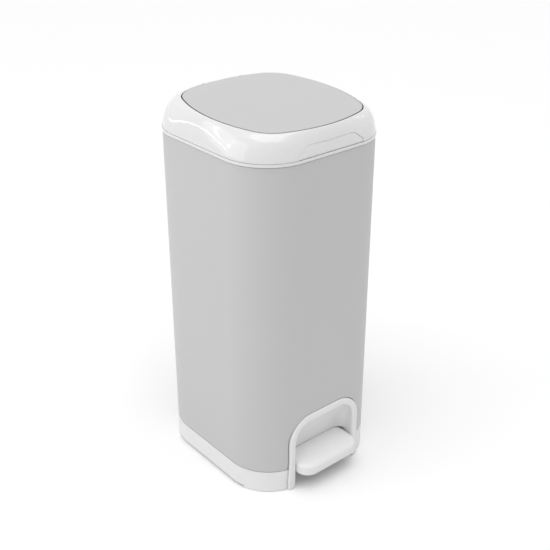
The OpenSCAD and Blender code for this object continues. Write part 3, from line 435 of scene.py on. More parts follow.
def on_lid(point, height):
    """A point of the lid's tilted plane, height above it."""
    head = bpy.context.scene.bin_head
    x, y = point
    centre_y = (head.rim_front - head.rim_rear) / 2
    cos, sin = math.cos(head.lid_tilt), math.sin(head.lid_tilt)
    return (x, centre_y + y * cos - height * sin, BODY_HIGH.z + head.lid_rise + y * sin + height * cos)


def rounded_path(corners, steps=5):
    """Closed outline through corners of (x, y, radius), each rounded by its own radius."""
    path = []
    for i, (x, y, radius) in enumerate(corners):
        px, py = corners[i - 1][:2]
        nx, ny = corners[(i + 1) % len(corners)][:2]
        if not radius:
            path.append((x, y))
            continue
        ux, uy = px - x, py - y
        vx, vy = nx - x, ny - y
        u, v = math.hypot(ux, uy), math.hypot(vx, vy)
        ux, uy, vx, vy = ux / u, uy / u, vx / v, vy / v
        half = math.acos(max(-1.0, min(1.0, ux * vx + uy * vy))) / 2
        sx, sy = ux + vx, uy + vy
        s = math.hypot(sx, sy)
        cx, cy = x + sx / s * radius / math.sin(half), y + sy / s * radius / math.sin(half)
        reach = radius / math.tan(half)
        start = math.atan2(y + uy * reach - cy, x + ux * reach - cx)
        sweep = (math.pi - 2 * half) * (-1 if ux * vy - uy * vx > 0 else 1)
        path += arc(cx, cy, radius, start, start + sweep, steps)
    return path


# Meshes

def loft(rings, closed=False):
    """Points and faces of a solid through rings, capped at its ends unless they close on themselves."""
    count = len(rings[0])
    points = [point for ring in rings for point in ring]
    faces = []
    for i in range(len(rings) if closed else len(rings) - 1):
        j = (i + 1) % len(rings)
        for k in range(count):
            n = (k + 1) % count
            faces.append((i * count + k, i * count + n, j * count + n, j * count + k))
    if not closed:
        faces.append(tuple(reversed(range(count))))
        faces.append(tuple(range((len(rings) - 1) * count, len(rings) * count)))
    return points, faces


def prism(outline, y0, y1):
    """Solid of an outline in X and Z, from the depth y0 to y1."""
    return loft([[(x, y, z) for x, z in outline] for y in (y0, y1)])


def block(low, high, radius=0.0):
    """Box with rounded upright edges."""
    (x0, y0, z0), (x1, y1, z1) = low, high
    corners = ((x0, y0), (x1, y0), (x1, y1), (x0, y1))
    outline = rounded_path([(x, y, radius) for x, y in corners], 2)
    return loft([[(x, y, z) for x, y in outline] for z in (z0, z1)])


def bar(profile, x0, x1):
    """Solid of a profile in Y and Z, from the side x0 to x1."""
    return loft([[(x, y, z) for y, z in profile] for x in (x0, x1)])


def new_mesh(name, solids):
    """One mesh of several solids, given about the body's middle and moved to the part's frame."""
    points, faces = [], []
    for solid_points, solid_faces in solids:
        start = len(points)
        points += [(x, y + MIDDLE_Y, z) for x, y, z in solid_points]
        faces += [tuple(start + i for i in face) for face in solid_faces]
    mesh = bpy.data.meshes.new(name)
    mesh.from_pydata(points, [], faces)
    tidy = bmesh.new()
    tidy.from_mesh(mesh)
    bmesh.ops.remove_doubles(tidy, verts=tidy.verts, dist=1e-7)
    bmesh.ops.recalc_face_normals(tidy, faces=tidy.faces)
    tidy.to_mesh(mesh)
    tidy.free()
    return mesh


def smooth(mesh, degrees):
    """Shades a mesh smoothly, but for edges that are sharper than an angle."""
    for polygon in mesh.polygons:
        polygon.use_smooth = True
    mesh.set_sharp_from_angle(angle=math.radians(degrees))


def carry_normals(cut, whole):
    """Gives a cut mesh the smooth normals of the whole one wherever their surfaces agree."""
    inwards, same_place, same_way = 0.002, 0.0001, 0.9
    whole.calc_loop_triangles()
    corners = [corner.vector.copy() for corner in whole.corner_normals]
    places = [vertex.co.copy() for vertex in whole.vertices]
    triangles = [tuple(triangle.vertices) for triangle in whole.loop_triangles]
    loops = [tuple(triangle.loops) for triangle in whole.loop_triangles]
    tree = BVHTree.FromPolygons(places, triangles)
    normals = [Vector((0, 0, 0))] * len(cut.loops)
    for polygon in cut.polygons:
        for index in polygon.loop_indices:
            point = cut.vertices[cut.loops[index].vertex_index].co
            spot, flat, hit, distance = tree.find_nearest(point.lerp(polygon.center, inwards))
            if hit is None or distance > same_place or flat.dot(polygon.normal) < same_way:
                normals[index] = polygon.normal.copy()
                continue
            weights = poly_3d_calc([places[i] for i in triangles[hit]], spot)
            normal = Vector((0, 0, 0))
            for weight, loop in zip(weights, loops[hit]):
                normal += corners[loop] * weight
            normals[index] = normal.normalized()
    cut.normals_split_custom_set(normals)


def cut_away(mesh, cutters):
    """The mesh with the cutting solids taken out, its normals kept."""
    base = bpy.data.objects.new("cut base", mesh)
    tool = bpy.data.objects.new("cut tool", new_mesh("cut tool", cutters))
    for item in (base, tool):
        bpy.context.scene.collection.objects.link(item)
    modifier = base.modifiers.new("cut", "BOOLEAN")
    modifier.operation = "DIFFERENCE"
    modifier.solver = "EXACT"
    modifier.use_self = True
    modifier.object = tool
    bpy.context.view_layer.update()
    cut = bpy.data.meshes.new_from_object(base.evaluated_get(bpy.context.evaluated_depsgraph_get()))
    for item in (base, tool):
        bpy.data.objects.remove(item)
    for polygon in cut.polygons:
        polygon.use_smooth = True
    carry_normals(cut, mesh)
    return cut


def add_piece(name, mesh, node):
    """Puts a mesh in the scene in place of a CAD node, on that node's body and with its finish."""
    piece = bpy.data.objects.new(name, mesh)
    bpy.context.scene.collection.objects.link(piece)
    mesh.materials.clear()
    mesh.materials.append(finish_for(SLOTS[node]))
    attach(piece, BODIES[node])
    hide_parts(node)
    return piece


def band(profile):
    """Solid ring of the body's outline, from a closed profile of insets and heights."""
    return loft([[(x, y, z) for x, y in body_outline(inset)] for inset, z in profile], closed=True)


# Pieces

def make_body():
    """The body skin: rounded edges, shadow gaps at both seams and a hole for the arch."""
    sizes = bpy.context.scene.bin_body
    low, high, wall, edge = BODY_LOW.z, BODY_HIGH.z, sizes.wall, sizes.edge_round
    lip, deep, top = 0.0007, high - 0.003, high - sizes.seam
    section = [(0, low + sizes.seam, edge), (0, top, HAIR), (lip, top, 0.0002), (lip, deep, 0),
               (wall, deep, 0), (wall, low, edge / 2)]
    whole = new_mesh("body shell", [band(rounded_path(section))])
    smooth(whole, 60)
    front = -sizes.depth / 2
    outline = []
    for x, z, turn in arch_path():
        reach = sizes.arch_band / 2 + arch_flare(z) + sizes.seam
        outline.append((x + reach * math.cos(turn), z + reach * math.sin(turn)))
    hole = prism(outline, front - 0.01, front + sizes.corner_radius / 2)
    return add_piece("body_skin", cut_away(whole, [hole]), "body_shell")


def make_base():
    """The base with a shadow groove under the body skin and its lower edges raised at the sides."""
    sizes = bpy.context.scene.bin_body
    whole = frame["nodes"]["base"].data.copy()
    whole.transform(frame["nodes"]["base"].matrix_world)
    smooth(whole, 32)
    lip, low, high = 0.0004, BODY_LOW.z - 0.0022, BODY_LOW.z + HAIR
    tools = [band([(lip, low), (lip, high), (sizes.wall, high), (sizes.wall, low)])]
    half, reach = sizes.width / 2, sizes.base_lift_length / 2
    within, past, under = 0.010, 0.003, 0.001
    for side in (-1, 1):
        x0, x1 = sorted((side * (half - within), side * (half + past)))
        tools.append(block((x0, -reach, -under), (x1, reach, sizes.base_lift)))
    return add_piece("base_shell", cut_away(whole, tools), "base")


def arch_path():
    """Middle line of the arch's band: x, z and the outward direction at each point."""
    sizes = bpy.context.scene.bin_body
    half = (sizes.arch_width - sizes.arch_band) / 2
    radius = sizes.arch_radius - sizes.arch_band / 2
    top = sizes.arch_height - sizes.arch_radius
    foot = sizes.arch_foot
    levels = [0, 0.0004, 0.0012] + [foot * share for share in (0.28, 0.45, 0.65, 0.85, 1.0)]
    levels += spaced(foot, top - ARCH_LOW.z, 12)[1:]
    path = [(half, ARCH_LOW.z + rise, 0.0) for rise in levels]
    path += [(half - radius + radius * math.cos(t), top + radius * math.sin(t), t)
             for t in spaced(0, QUARTER, 16)[1:]]
    return path + [(-x, z, math.pi - t) for x, z, t in reversed(path)]


def arch_flare(z):
    """How much wider than above a leg of the arch is at a height."""
    start, reach = 0.060, 0.045
    share = min(1.0, max(0.0, (start - z) / reach))
    return bpy.context.scene.bin_body.arch_flare * share * share * (3 - 2 * share)


def arch_section(inset, trim, flare, groove):
    """Section of the band: across it, and forwards from its back. The trim comes off its inner side,
    and the groove off its outer side behind the body skin."""
    sizes = bpy.context.scene.bin_body
    half = sizes.arch_band / 2 - inset
    depth = sizes.arch_proud + BAND_BACK - inset
    inner = trim - half
    edge = min(0.0028, (half - inner) * 0.4)
    outer, back = half + flare, half - groove
    skin = depth - sizes.arch_proud - 0.0004
    return rounded_path([(inner, 0, HAIR), (back, 0, HAIR), (back, skin, 0), (outer, skin + HAIR, 0),
                         (outer, depth, edge + 0.0002), (inner, depth, edge)], 6)


def make_surround():
    """The arch with rounded feet, and the recess panel behind the pedal."""
    sizes = bpy.context.scene.bin_body
    front = -sizes.depth / 2
    end_insets, groove_depth = (0.0012, 0.0004), 0.0007
    rings = []
    path = arch_path()
    for i, (x, z, turn) in enumerate(path):
        end = min(i, len(path) - 1 - i)
        inset = end_insets[end] if end < len(end_insets) else 0.0
        short = max(0.0, sizes.arch_foot - (z - ARCH_LOW.z))
        trim = sizes.arch_foot - math.sqrt(sizes.arch_foot ** 2 - short ** 2)
        groove = groove_depth if z > BODY_LOW.z - 0.002 else 0.0
        section = arch_section(inset, trim * 0.8, arch_flare(z), groove)
        rings.append([(x + across * math.cos(turn), front + BAND_BACK - forward,
                       z + across * math.sin(turn)) for across, forward in section])
    mesh = new_mesh("pedal surround", [loft(rings)] + recess_panel())
    smooth(mesh, 38)
    return add_piece("pedal_arch", mesh, "pedal_surround")


def recess_panel():
    """Panel behind the pedal, blended into the walls inside the arch, and the walls' lower parts."""
    sizes = bpy.context.scene.bin_body
    front = -sizes.depth / 2
    rear = ARCH_HIGH.y - MIDDLE_Y - 0.0025
    half, top = sizes.arch_width / 2 - sizes.arch_band, sizes.arch_height - sizes.arch_band
    corner = sizes.arch_radius - sizes.arch_band
    low = PAD_TOP + sizes.recess_gap
    bend = sizes.recess_bend
    ay, az, by, bz = front - 0.001, top, rear, low
    vy, vz = by - ay, bz - az
    span = math.hypot(vy, vz)
    rise = math.sqrt(bend * bend - span * span / 4)
    cy, cz = (ay + by) / 2 + vz / span * rise, (az + bz) / 2 - vy / span * rise

    def depth(z):
        return cy + math.sqrt(bend * bend - (z - cz) ** 2)

    def u_line(inset, drop):
        """Points of one U inside the arch, from its lower right end over its top."""
        h, t, r = half - inset, top - inset, max(corner - inset, 0.0004)
        line = [(h, z) for z in spaced(low, t - r, 8)[:-1]] + arc(h - r, t - r, r, 0, QUARTER, 12)
        line += [((h - r) * (1 - i / 6), t) for i in range(1, 7)]
        line += [(-x, z) for x, z in reversed(line[:-1])]
        points = []
        for x, z in line:
            back = depth(min(z, top))
            fillet = min(sizes.recess_fillet, max(0.0, (back - front - 0.002) * 0.85))
            near = min(fillet, max(0.0, fillet - inset))
            y = back - (fillet - math.sqrt(max(0.0, fillet * fillet - near * near)))
            start = min(front + 0.0012, y - 0.0008)
            points.append((x, min(y, back) if drop is None else start + (y - start) * drop, z))
        return points

    proud, thick = 0.0002, 0.0022
    insets = (proud + 0.00005, 0.0005, 0.001, 0.0018, 0.0028, 0.004, 0.0055, 0.007, 0.009, 0.012,
              0.016, 0.021, 0.0265, 0.034, 0.042, 0.050, half - 0.004)
    lines = [u_line(-0.0012, 0.0), u_line(proud, 0.0), u_line(proud, 0.5), u_line(proud, 1.0)]
    lines += [u_line(inset, None) for inset in insets]
    sheet = bmesh.new()
    spots = [[sheet.verts.new(point) for point in line] for line in lines]
    for outer, inner in zip(spots, spots[1:]):
        for k in range(len(outer) - 1):
            sheet.faces.new((outer[k], inner[k], inner[k + 1], outer[k + 1]))
    sheet.faces.new(spots[-1])
    bmesh.ops.recalc_face_normals(sheet, faces=sheet.faces)
    facing = sum(face.normal.y * face.calc_area() for face in sheet.faces)
    if facing > 0:
        bmesh.ops.reverse_faces(sheet, faces=sheet.faces)
    bmesh.ops.solidify(sheet, geom=sheet.faces[:], thickness=thick)
    sheet.verts.index_update()
    solid = ([tuple(v.co) for v in sheet.verts], [tuple(v.index for v in f.verts) for f in sheet.faces])
    sheet.free()
    walls = []
    for side in (-1, 1):
        x0, x1 = sorted((side * (half + HAIR), side * (half + 0.0024)))
        walls.append(block((x0, front + 0.004, 0.0087), (x1, rear, low + 0.0002), 0.0006))
    return [solid] + walls


def pad_outline(inset, height):
    """Outline of the pedal pad about its rear edge, with larger corners at its front."""
    sizes = bpy.context.scene.bin_pedal
    half = sizes.width / 2 - inset
    front, rear = sizes.front_radius - inset, sizes.rear_radius - inset * 0.6
    y0, y1 = -sizes.length + inset, -inset * 0.35
    right = arc(half - front, y0 + front, front, -QUARTER, 0, 14)
    right += arc(half - rear, y1 - rear, rear, 0, QUARTER, 14)
    cos, sin = math.cos(sizes.slope), math.sin(sizes.slope)
    nose_depth = 0.0078
    rear_y = PAD_LOW.y - MIDDLE_Y + sizes.length * cos - nose_depth * sin
    return [(x, rear_y + y * cos - height * sin, PAD_TOP + y * sin + height * cos)
            for x, y in right + [(-x, y) for x, y in reversed(right)]]


def make_pedal():
    """The pad: a hollow shell with a round upper edge, cut out over the lever."""
    sizes = bpy.context.scene.bin_pedal
    thick, edge = sizes.thickness, sizes.edge_round
    outer = [(0.0020, -thick), (0.0013, 0.0005 - thick), (0.0006, 0.0014 - thick), (0, 0.0034 - thick),
             (0, -0.0105)]
    outer += [(edge * (1 - math.cos(t)), edge * (math.sin(t) - 1) - 0.0008)
              for t in spaced(0, QUARTER, 10)]
    outer += [(0.009, -0.00045), (0.0105, -0.0002), (0.012, -0.00005), (0.0135, 0.0)]
    inner = [(0.010, -0.0035), (0.007, -0.0036), (0.004, -0.006), (0.003, -0.009),
             (0.003, 0.002 - thick), (0.0032, 0.0004 - thick), (0.0036, -thick)]
    rings = [pad_outline(inset, height) for inset, height in outer]
    hollow = [pad_outline(inset, height) for inset, height in inner]
    points, faces = loft(rings + hollow, closed=True)
    count = len(rings[0])
    top, ceiling = len(rings) - 1, len(rings)
    faces = [face for face in faces if not (face[0] // count == top and face[2] // count == ceiling)]
    faces.append(tuple(top * count + k for k in range(count)))
    faces.append(tuple(ceiling * count + k for k in reversed(range(count))))
    whole = new_mesh("pedal pad", [(points, faces)])
    smooth(whole, 40)
    notch, notch_top, rear = 0.0337, 0.0382, PAD_HIGH.y - MIDDLE_Y
    tool = block((-notch, rear - 0.008, 0), (notch, rear + 0.004, notch_top))
    return add_piece("pedal_step", cut_away(whole, [tool]), "pedal_pad")


def shoulder(foot, lip, turn, start):
    """Point of the head's shoulder between its foot and its lip."""
    share = 1 - max(0.0, math.cos(turn)) ** SHOULDER_POWER
    return (foot[0] + (lip[0] - foot[0]) * share, foot[1] + (lip[1] - foot[1]) * share,
            start + (lip[2] - start) * math.sin(turn))


def shoulder_rings(inset, drop, lip_out, steps, lifts=()):
    """Rings up the head's shoulder; lifts are the insets and heights of the rounded lower edge."""
    start = BODY_HIGH.z + HAIR
    above = HEAD_LOW.z + (lifts[-1][1] if lifts else 0)
    lip = [on_lid(point, -LIP_DROP - drop) for point in lid_outline(lip_out)]

    def ring(extra, height, share):
        """Ring at a share of the way round the shoulder from a height."""
        points = []
        for foot, top in zip(body_outline(inset + extra), lip):
            first = math.asin((height - start) / (top[2] - start))
            points.append(shoulder(foot, top, first + (QUARTER - first) * share, start))
        return points

    rings = [ring(extra, HEAD_LOW.z + height, 0) for extra, height in lifts]
    return rings + [ring(0.0, above, i / steps) for i in range(1 if lifts else 0, steps + 1)]


def head_solid():
    """The head shell before its cut-outs, with a rounded lip round the lid."""
    gap = bpy.context.scene.bin_head.lid_gap
    lip, wall, deep, foot = 0.0008, 0.0025, 0.0034, 0.0006
    edge = [(foot * (1 - math.sin(t)), foot * (1 - math.cos(t))) for t in spaced(0, QUARTER, 4)]
    rings = shoulder_rings(0.0, 0.0, gap + lip, 30, edge)
    for t in spaced(0, QUARTER, 6)[1:]:
        rings.append([on_lid(point, -LIP_DROP - lip * (1 - math.cos(t)))
                      for point in lid_outline(gap + lip * (1 - math.sin(t)))])
    rings.append([on_lid(point, HAIR - LIP_DROP - deep) for point in lid_outline(gap)])
    inner = shoulder_rings(wall, deep, gap + 0.0002, 14)
    return loft(rings + inner[::-1], closed=True)


def plaque_outline(grow):
    """Outline of the front plaque in X and Z, from its lower left corner, let out by grow."""
    head = bpy.context.scene.bin_head
    low = HEAD_LOW.z
    half, top_half = head.plaque_width / 2 + grow, head.plaque_top / 2 + grow / 2
    knee, top = low + head.plaque_height * 0.3, low + head.plaque_height + grow
    bottom, foot = (low - 0.001, 0) if grow >= 0 else (low - grow, 0.001)
    return rounded_path([(-half, bottom, foot), (half, bottom, foot), (half, knee, 0.006),
                         (top_half, top, 0.010), (-top_half, top, 0.010), (-half, knee, 0.006)], 8)


def make_head():
    """The head's rim, cut out for the plaque, the lid's hinge and the head's own knuckle."""
    sizes = bpy.context.scene.bin_body
    front, rear = -sizes.depth / 2, sizes.depth / 2
    whole = new_mesh("head shell", [head_solid()])
    smooth(whole, 50)
    hinge_y = (LID_PIN_LOW.y + LID_PIN_HIGH.y) / 2 - MIDDLE_Y
    hinge_z = (LID_PIN_LOW.z + LID_PIN_HIGH.z) / 2
    valley, knuckle, low = 0.037, 0.0261, HEAD_LOW.z
    tools = [
        prism(plaque_outline(0.0), front - 0.005, front + 0.030),
        block((-valley, hinge_y - 0.012, hinge_z - 0.0046), (valley, hinge_y + 0.028, hinge_z + 0.035)),
        block((-knuckle, rear - 0.012, low - 0.001), (knuckle, rear + 0.008, low + 0.0048)),
    ]
    return add_piece("head_rim", cut_away(whole, tools), "head_shell")


def make_plaque():
    """The bare release button: its face follows the head's shoulder, a little below it."""
    head = bpy.context.scene.bin_head
    sizes = bpy.context.scene.bin_body
    front = -sizes.depth / 2
    points, faces = head_solid()
    tree = BVHTree.FromPolygons([Vector(point) for point in points], faces)
    inset, gap, edge, thick = 0.0003, 0.0003, 0.0005, 0.0022

    def on_face(x, z, back):
        spot = tree.ray_cast(Vector((x, front - 0.05, z)), Vector((0, 1, 0)))[0]
        return (x, spot.y + inset + back, z)

    middle_z = HEAD_LOW.z + head.plaque_height * 0.5
    rings = []
    for back in (thick, thick * 0.6):
        rings.append([on_face(x, z, back) for x, z in plaque_outline(-gap)])
    for t in spaced(0, QUARTER, 4):
        ring = plaque_outline(-gap - edge * (1 - math.cos(t)))
        rings.append([on_face(x, z, edge * (1 - math.sin(t))) for x, z in ring])
    last = plaque_outline(-gap - edge)
    for share in (0.9, 0.75, 0.55, 0.3, 0.05):
        rings.append([on_face(x * share, middle_z + (z - middle_z) * share, 0.0) for x, z in last])
    solids = [loft(rings)]
    low = HEAD_LOW.z
    stem_y, hook_y, back_y, hook_z = front + 0.0016, front + 0.0054, front + 0.0074, BODY_HIGH.z - 0.015
    hook = [(stem_y, low + 0.002), (hook_y, low + 0.002), (hook_y, hook_z), (back_y, hook_z),
            (back_y, low + 0.005), (stem_y, low + 0.005)]
    hook_half, tongue_x, tongue_half = 0.013, 0.036, 0.005
    solids.append(bar(hook, -hook_half, hook_half))
    root_y, bend_y, tip_y = front + 0.0022, front + 0.0074, front + 0.0086
    tongue = [(root_y, low + 0.007), (tip_y, low + 0.007), (tip_y, low + 0.013), (bend_y, low + 0.013),
              (bend_y, low + 0.0082), (root_y, low + 0.0082)]
    for x in (-tongue_x, tongue_x):
        solids.append(bar(tongue, x - tongue_half, x + tongue_half))
    mesh = new_mesh("front plaque", solids)
    smooth(mesh, 40)
    return add_piece("front_plaque", mesh, "release_button")


def make_lid():
    """The lid's top: a low crown, a rounded edge and an undercut that keeps the gap dark."""
    crown = bpy.context.scene.bin_head.lid_crown
    thick, edge, undercut = 0.003, 0.0007, 0.0018
    rings = [[on_lid(point, -thick) for point in lid_outline(-undercut - HAIR)],
             [on_lid(point, -thick + HAIR) for point in lid_outline(-undercut)],
             [on_lid(point, -edge - 0.0002) for point in lid_outline(0.0)]]
    for t in spaced(0, QUARTER, 8):
        rings.append([on_lid(point, -edge * (1 - math.sin(t)))
                      for point in lid_outline(-edge * (1 - math.cos(t)))])
    last = lid_outline(-edge)
    for share in (0.985, 0.96, 0.93, 0.88, 0.8, 0.7, 0.6, 0.48, 0.35, 0.22, 0.12, 0.05):
        rings.append([on_lid((x * share, y * share), crown * (1 - share ** 2)) for x, y in last])
    mesh = new_mesh("lid top", [loft(rings)])
    smooth(mesh, 40)
    return add_piece("lid_top", mesh, "lid_panel")


def square_ring(half, radius, height):
    """Points round a square with rounded corners about the middle of the refill well."""
    low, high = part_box("film_pack")
    middle = (low.y + high.y) / 2 - MIDDLE_Y
    flat, points = half - radius, []
    for quarter in range(4):
        turn = QUARTER * quarter
        line = [(half, y) for y in spaced(-flat, flat, 26)[:-1]]
        line += arc(flat, flat, radius, 0, QUARTER, 12)[:-1]
        points += [(x * math.cos(turn) - y * math.sin(turn), x * math.sin(turn) + y * math.cos(turn))
                   for x, y in line]
    return [(x, middle + y, height) for x, y in points]


def make_film():
    """The gathered film tube: folds lie one in another round the throat, creased where they turn."""
    sizes = bpy.context.scene.bin_film
    low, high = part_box("film_pack")
    outer, outer_round = (high.x - low.x) / 2, sizes.outer_radius
    inner, inner_round = sizes.opening / 2, sizes.opening_radius

    def ring(share, height, crease=0.0, phase=0.0):
        base = square_ring(outer + (inner - outer) * share,
                           outer_round + (inner_round - outer_round) * share, height)
        points = []
        for k, (x, y, z) in enumerate(base):
            turn = 2 * math.pi * k / len(base)
            wave = math.sin(9 * turn + phase) * 0.5 + math.sin(31 * turn + phase * 2.3) * 0.35
            wave += math.sin(57 * turn - phase * 1.7) * 0.15
            points.append((x, y, z - crease * (1 + wave)))
        return points

    heights = spaced(low.z, high.z - 0.003, 12)
    rings = [ring(0.02 if i % 2 else 0.0, height) for i, height in enumerate(heights)]
    steps, crease = sizes.folds * 6, 0.0006
    for i in range(steps + 1):
        share = i / steps
        fold = 0.5 - 0.5 * math.cos(2 * math.pi * sizes.folds * share)
        rings.append(ring(0.01 + 0.98 * share, high.z - sizes.fold_depth * fold, crease, i * 0.9))
    rings += [ring(0.98 if i % 2 else 1.0, height) for i, height in enumerate(reversed(heights))]
    mesh = new_mesh("film pack", [loft(rings, closed=True)])
    smooth(mesh, 80)
    return add_piece("gathered_film", mesh, "film_pack")


def make_return_spring():
    """The pedal's return spring: open turns, closed ends."""
    sizes = bpy.context.scene.bin_inner
    low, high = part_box("pedal_spring")
    wire, turns, steps = sizes.spring_wire / 2, sizes.spring_turns, 40
    radius = (high.x - low.x) / 2 - wire
    middle = (low.y + high.y) / 2 - MIDDLE_Y
    rise = high.z - low.z - 2 * wire
    flat = 2 * wire / rise
    rings = []
    last = (turns + 2) * steps
    for i in range(last + 1):
        turn, part = 2 * math.pi * i / steps, i / steps
        share = part * flat if part < 1 else flat + (1 - 2 * flat) * (part - 1) / turns
        if part > turns + 1:
            share = 1 - (turns + 2 - part) * flat
        tip = wire * (0.6 if i in (0, last) else 1.0)
        section = arc(radius, low.z + wire + rise * share, tip, 0, 2 * math.pi, 10)[:-1]
        rings.append([(away * math.cos(turn), middle + away * math.sin(turn), z)
                      for away, z in section])
    mesh = new_mesh("return spring", [loft(rings)])
    smooth(mesh, 70)
    piece = add_piece("return_spring", mesh, "pedal_spring")
    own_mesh(piece)
    return piece


def make_filter():
    """The carbon felt pad: soft round edges and a surface pressed in by its granules."""
    low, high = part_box("carbon_filter")
    head = bpy.context.scene.bin_head
    cos, sin = math.cos(head.lid_tilt), math.sin(head.lid_tilt)
    radius = (high.x - low.x) / 2
    thick = (high.z - low.z - 2 * radius * sin) / cos
    away = (low.y + high.y) / 2 - MIDDLE_Y - (head.rim_front - head.rim_rear) / 2
    rise = (low.z + high.z) / 2 - BODY_HIGH.z - head.lid_rise
    centre, height = away * cos + rise * sin, rise * cos - away * sin
    edge, count, lump_height = thick * 0.3, 72, 0.00025
    profile = arc(radius - edge, edge - thick / 2, edge, -QUARTER, 0, 5)
    profile += arc(radius - edge, thick / 2 - edge, edge, 0, QUARTER, 5)
    under = [(radius * share, -thick / 2)
             for share in (0.03, 0.1, 0.2, 0.3, 0.4, 0.5, 0.6, 0.7, 0.8, 0.88)]
    over = [(radius * share, thick / 2) for share in (0.8, 0.5, 0.2, 0.03)]
    rings = []
    for away_from, up in under + profile + over:
        points = []
        for k in range(count):
            turn = 2 * math.pi * k / count
            x, y = away_from * math.cos(turn), away_from * math.sin(turn)
            lump = abs(math.sin(x * 900) * math.sin(y * 1050 + 1)) * lump_height if up < 0 else 0.0
            points.append(on_lid((x, centre + y), height + up + lump))
        rings.append(points)
    mesh = new_mesh("carbon filter", [loft(rings)])
    smooth(mesh, 60)
    return add_piece("felt_filter", mesh, "carbon_filter")


def finish_inner():
    """Gives every CAD node that still shows its finish and softly rounded edges."""
    for name, node in frame["nodes"].items():
        if name in REPLACED:
            continue
        node.data.materials.clear()
        node.data.materials.append(finish_for(SLOTS[name]))
        smooth(node.data, 32)
        edge = node.modifiers.new("edge round", "BEVEL")
        edge.width = 0.0003
        edge.segments = 2
        edge.limit_method = "ANGLE"
        edge.angle_limit = math.radians(40)
        edge.harden_normals = True


# Stage

FLOOR_HALF = 6.0
FLOOR_GLOW = 0.07       # what the floor lacks to white where it is seen
SUN_FROM = Vector((-0.12, -0.20, 1.0))
SUN_ANGLE = math.radians(66)


def aimed(item, place, aim):
    """Puts an item at a place, looking along a direction."""
    item.location = place
    item.rotation_euler = Vector(aim).to_track_quat("-Z", "Y").to_euler()


def add_lamp(name, kind, place, aim, power):
    """Adds a lamp and returns its data."""
    lamp = bpy.data.lights.new(name, kind)
    lamp.energy = power
    item = bpy.data.objects.new(name, lamp)
    bpy.context.scene.collection.objects.link(item)
    aimed(item, place, aim)
    return lamp


def seen_ray(wire):
    """1 for rays that show the background: straight, mirrored or passed through."""
    outputs = wire.node("LightPath").socket.node.outputs
    straight, mirrored, passed = [Wire(wire.tree, outputs[name]) for name in
                                  ("Is Camera Ray", "Is Glossy Ray", "Is Transmission Ray")]
    return wire.maths("MAXIMUM", wire.maths("MAXIMUM", straight, mirrored), passed)


def new_surface(tree, kind):
    """An emptied tree's output node of a kind, and a wire for the tree."""
    tree.nodes.clear()
    return tree.nodes.new("ShaderNodeOutput" + kind), Wire(tree)


def make_room(strength):
    """Even light from all round, seen as white."""
    world = bpy.data.worlds.new("studio")
    bpy.context.scene.world = world
    world.use_nodes = True
    end, wire = new_surface(world.node_tree, "World")
    light, white = [wire.node("Background", values={"Color": grey(1.0), "Strength": power})
                    for power in (strength, 1.0)]
    wire.node("MixShader", values={0: seen_ray(wire), 1: light, 2: white}).feed(end, "Surface")


def make_floor(tone):
    """A plain pale floor, lifted to white where it is seen, that keeps the shadow."""
    mesh = bpy.data.meshes.new("floor")
    corners = [(x * FLOOR_HALF, y * FLOOR_HALF, 0) for x, y in ((-1, -1), (1, -1), (1, 1), (-1, 1))]
    mesh.from_pydata(corners, [], [(0, 1, 2, 3)])
    floor = bpy.data.objects.new("floor", mesh)
    bpy.context.scene.collection.objects.link(floor)
    material = bpy.data.materials.new("pale floor")
    material.use_nodes = True
    end, wire = new_surface(material.node_tree, "Material")
    matt = wire.node("BsdfDiffuse", values={"Color": (*tone, 1.0)})
    glow = wire.node("Emission", values={"Color": grey(1.0), "Strength": seen_ray(wire) * FLOOR_GLOW})
    wire.node("AddShader", values={0: matt, 1: glow}).feed(end, "Surface")
    mesh.materials.append(material)


def make_stage():
    """The photograph's camera and the studio round the bin."""
    scene = bpy.context.scene
    settings = scene.bin_stage
    scene.view_settings.view_transform = "Standard"
    lens = bpy.data.cameras.new("photo camera")
    lens.sensor_fit = "HORIZONTAL"
    lens.sensor_width = 36.0
    lens.lens = settings.focal_length
    camera = bpy.data.objects.new("photo camera", lens)
    scene.collection.objects.link(camera)
    aimed(camera, settings.camera_place, settings.camera_aim)
    scene.camera = camera
    make_room(settings.room_light)
    make_floor(settings.floor)
    add_lamp("overhead", "SUN", SUN_FROM * 3, -SUN_FROM, settings.overhead).angle = SUN_ANGLE
    rim, strip = Vector((0, 0, HEAD_LOW.z)), settings.strip_power
    for name, place, target, size, power in (
            ("side lamp", (-1.8, 0.7, 0.9), Vector((0, 0, 0.3)), (1.8, 1.5), settings.side_power),
            ("rear left strip", (-1.1, 1.45, 0.62), rim, (0.9, 0.05), strip),
            ("high left strip", (-1.35, 1.05, 1.05), rim, (0.05, 0.55), strip * 0.6),
            ("roof strip", (-1.0, 0.3, 2.0), rim, (0.9, 0.06), strip),
            ("front strip", (-0.1, -1.4, 1.75), rim, (0.9, 0.05), strip),
            ("right strip", (1.55, -0.45, 1.35), rim, (0.3, 0.05), strip * 0.4)):
        lamp = add_lamp(name, "AREA", place, target - Vector(place), power)
        lamp.shape = "RECTANGLE"
        lamp.size, lamp.size_y = size


# Operators and panel

class NAPPYBIN_OT_stage(Operator):
    """Adds the camera, the lamps, the room and the floor."""
    bl_idname = "nappybin.stage"
    bl_label = "Stage"
    bl_options = {"REGISTER", "UNDO"}

    def execute(self, context):
        make_stage()
        return {"FINISHED"}


class NAPPYBIN_OT_body(Operator):
    """Replaces the body shell by a fine skin with rounded edges."""
    bl_idname = "nappybin.body"
    bl_label = "Body"
    bl_options = {"REGISTER", "UNDO"}

    def execute(self, context):
        make_body()
        return {"FINISHED"}


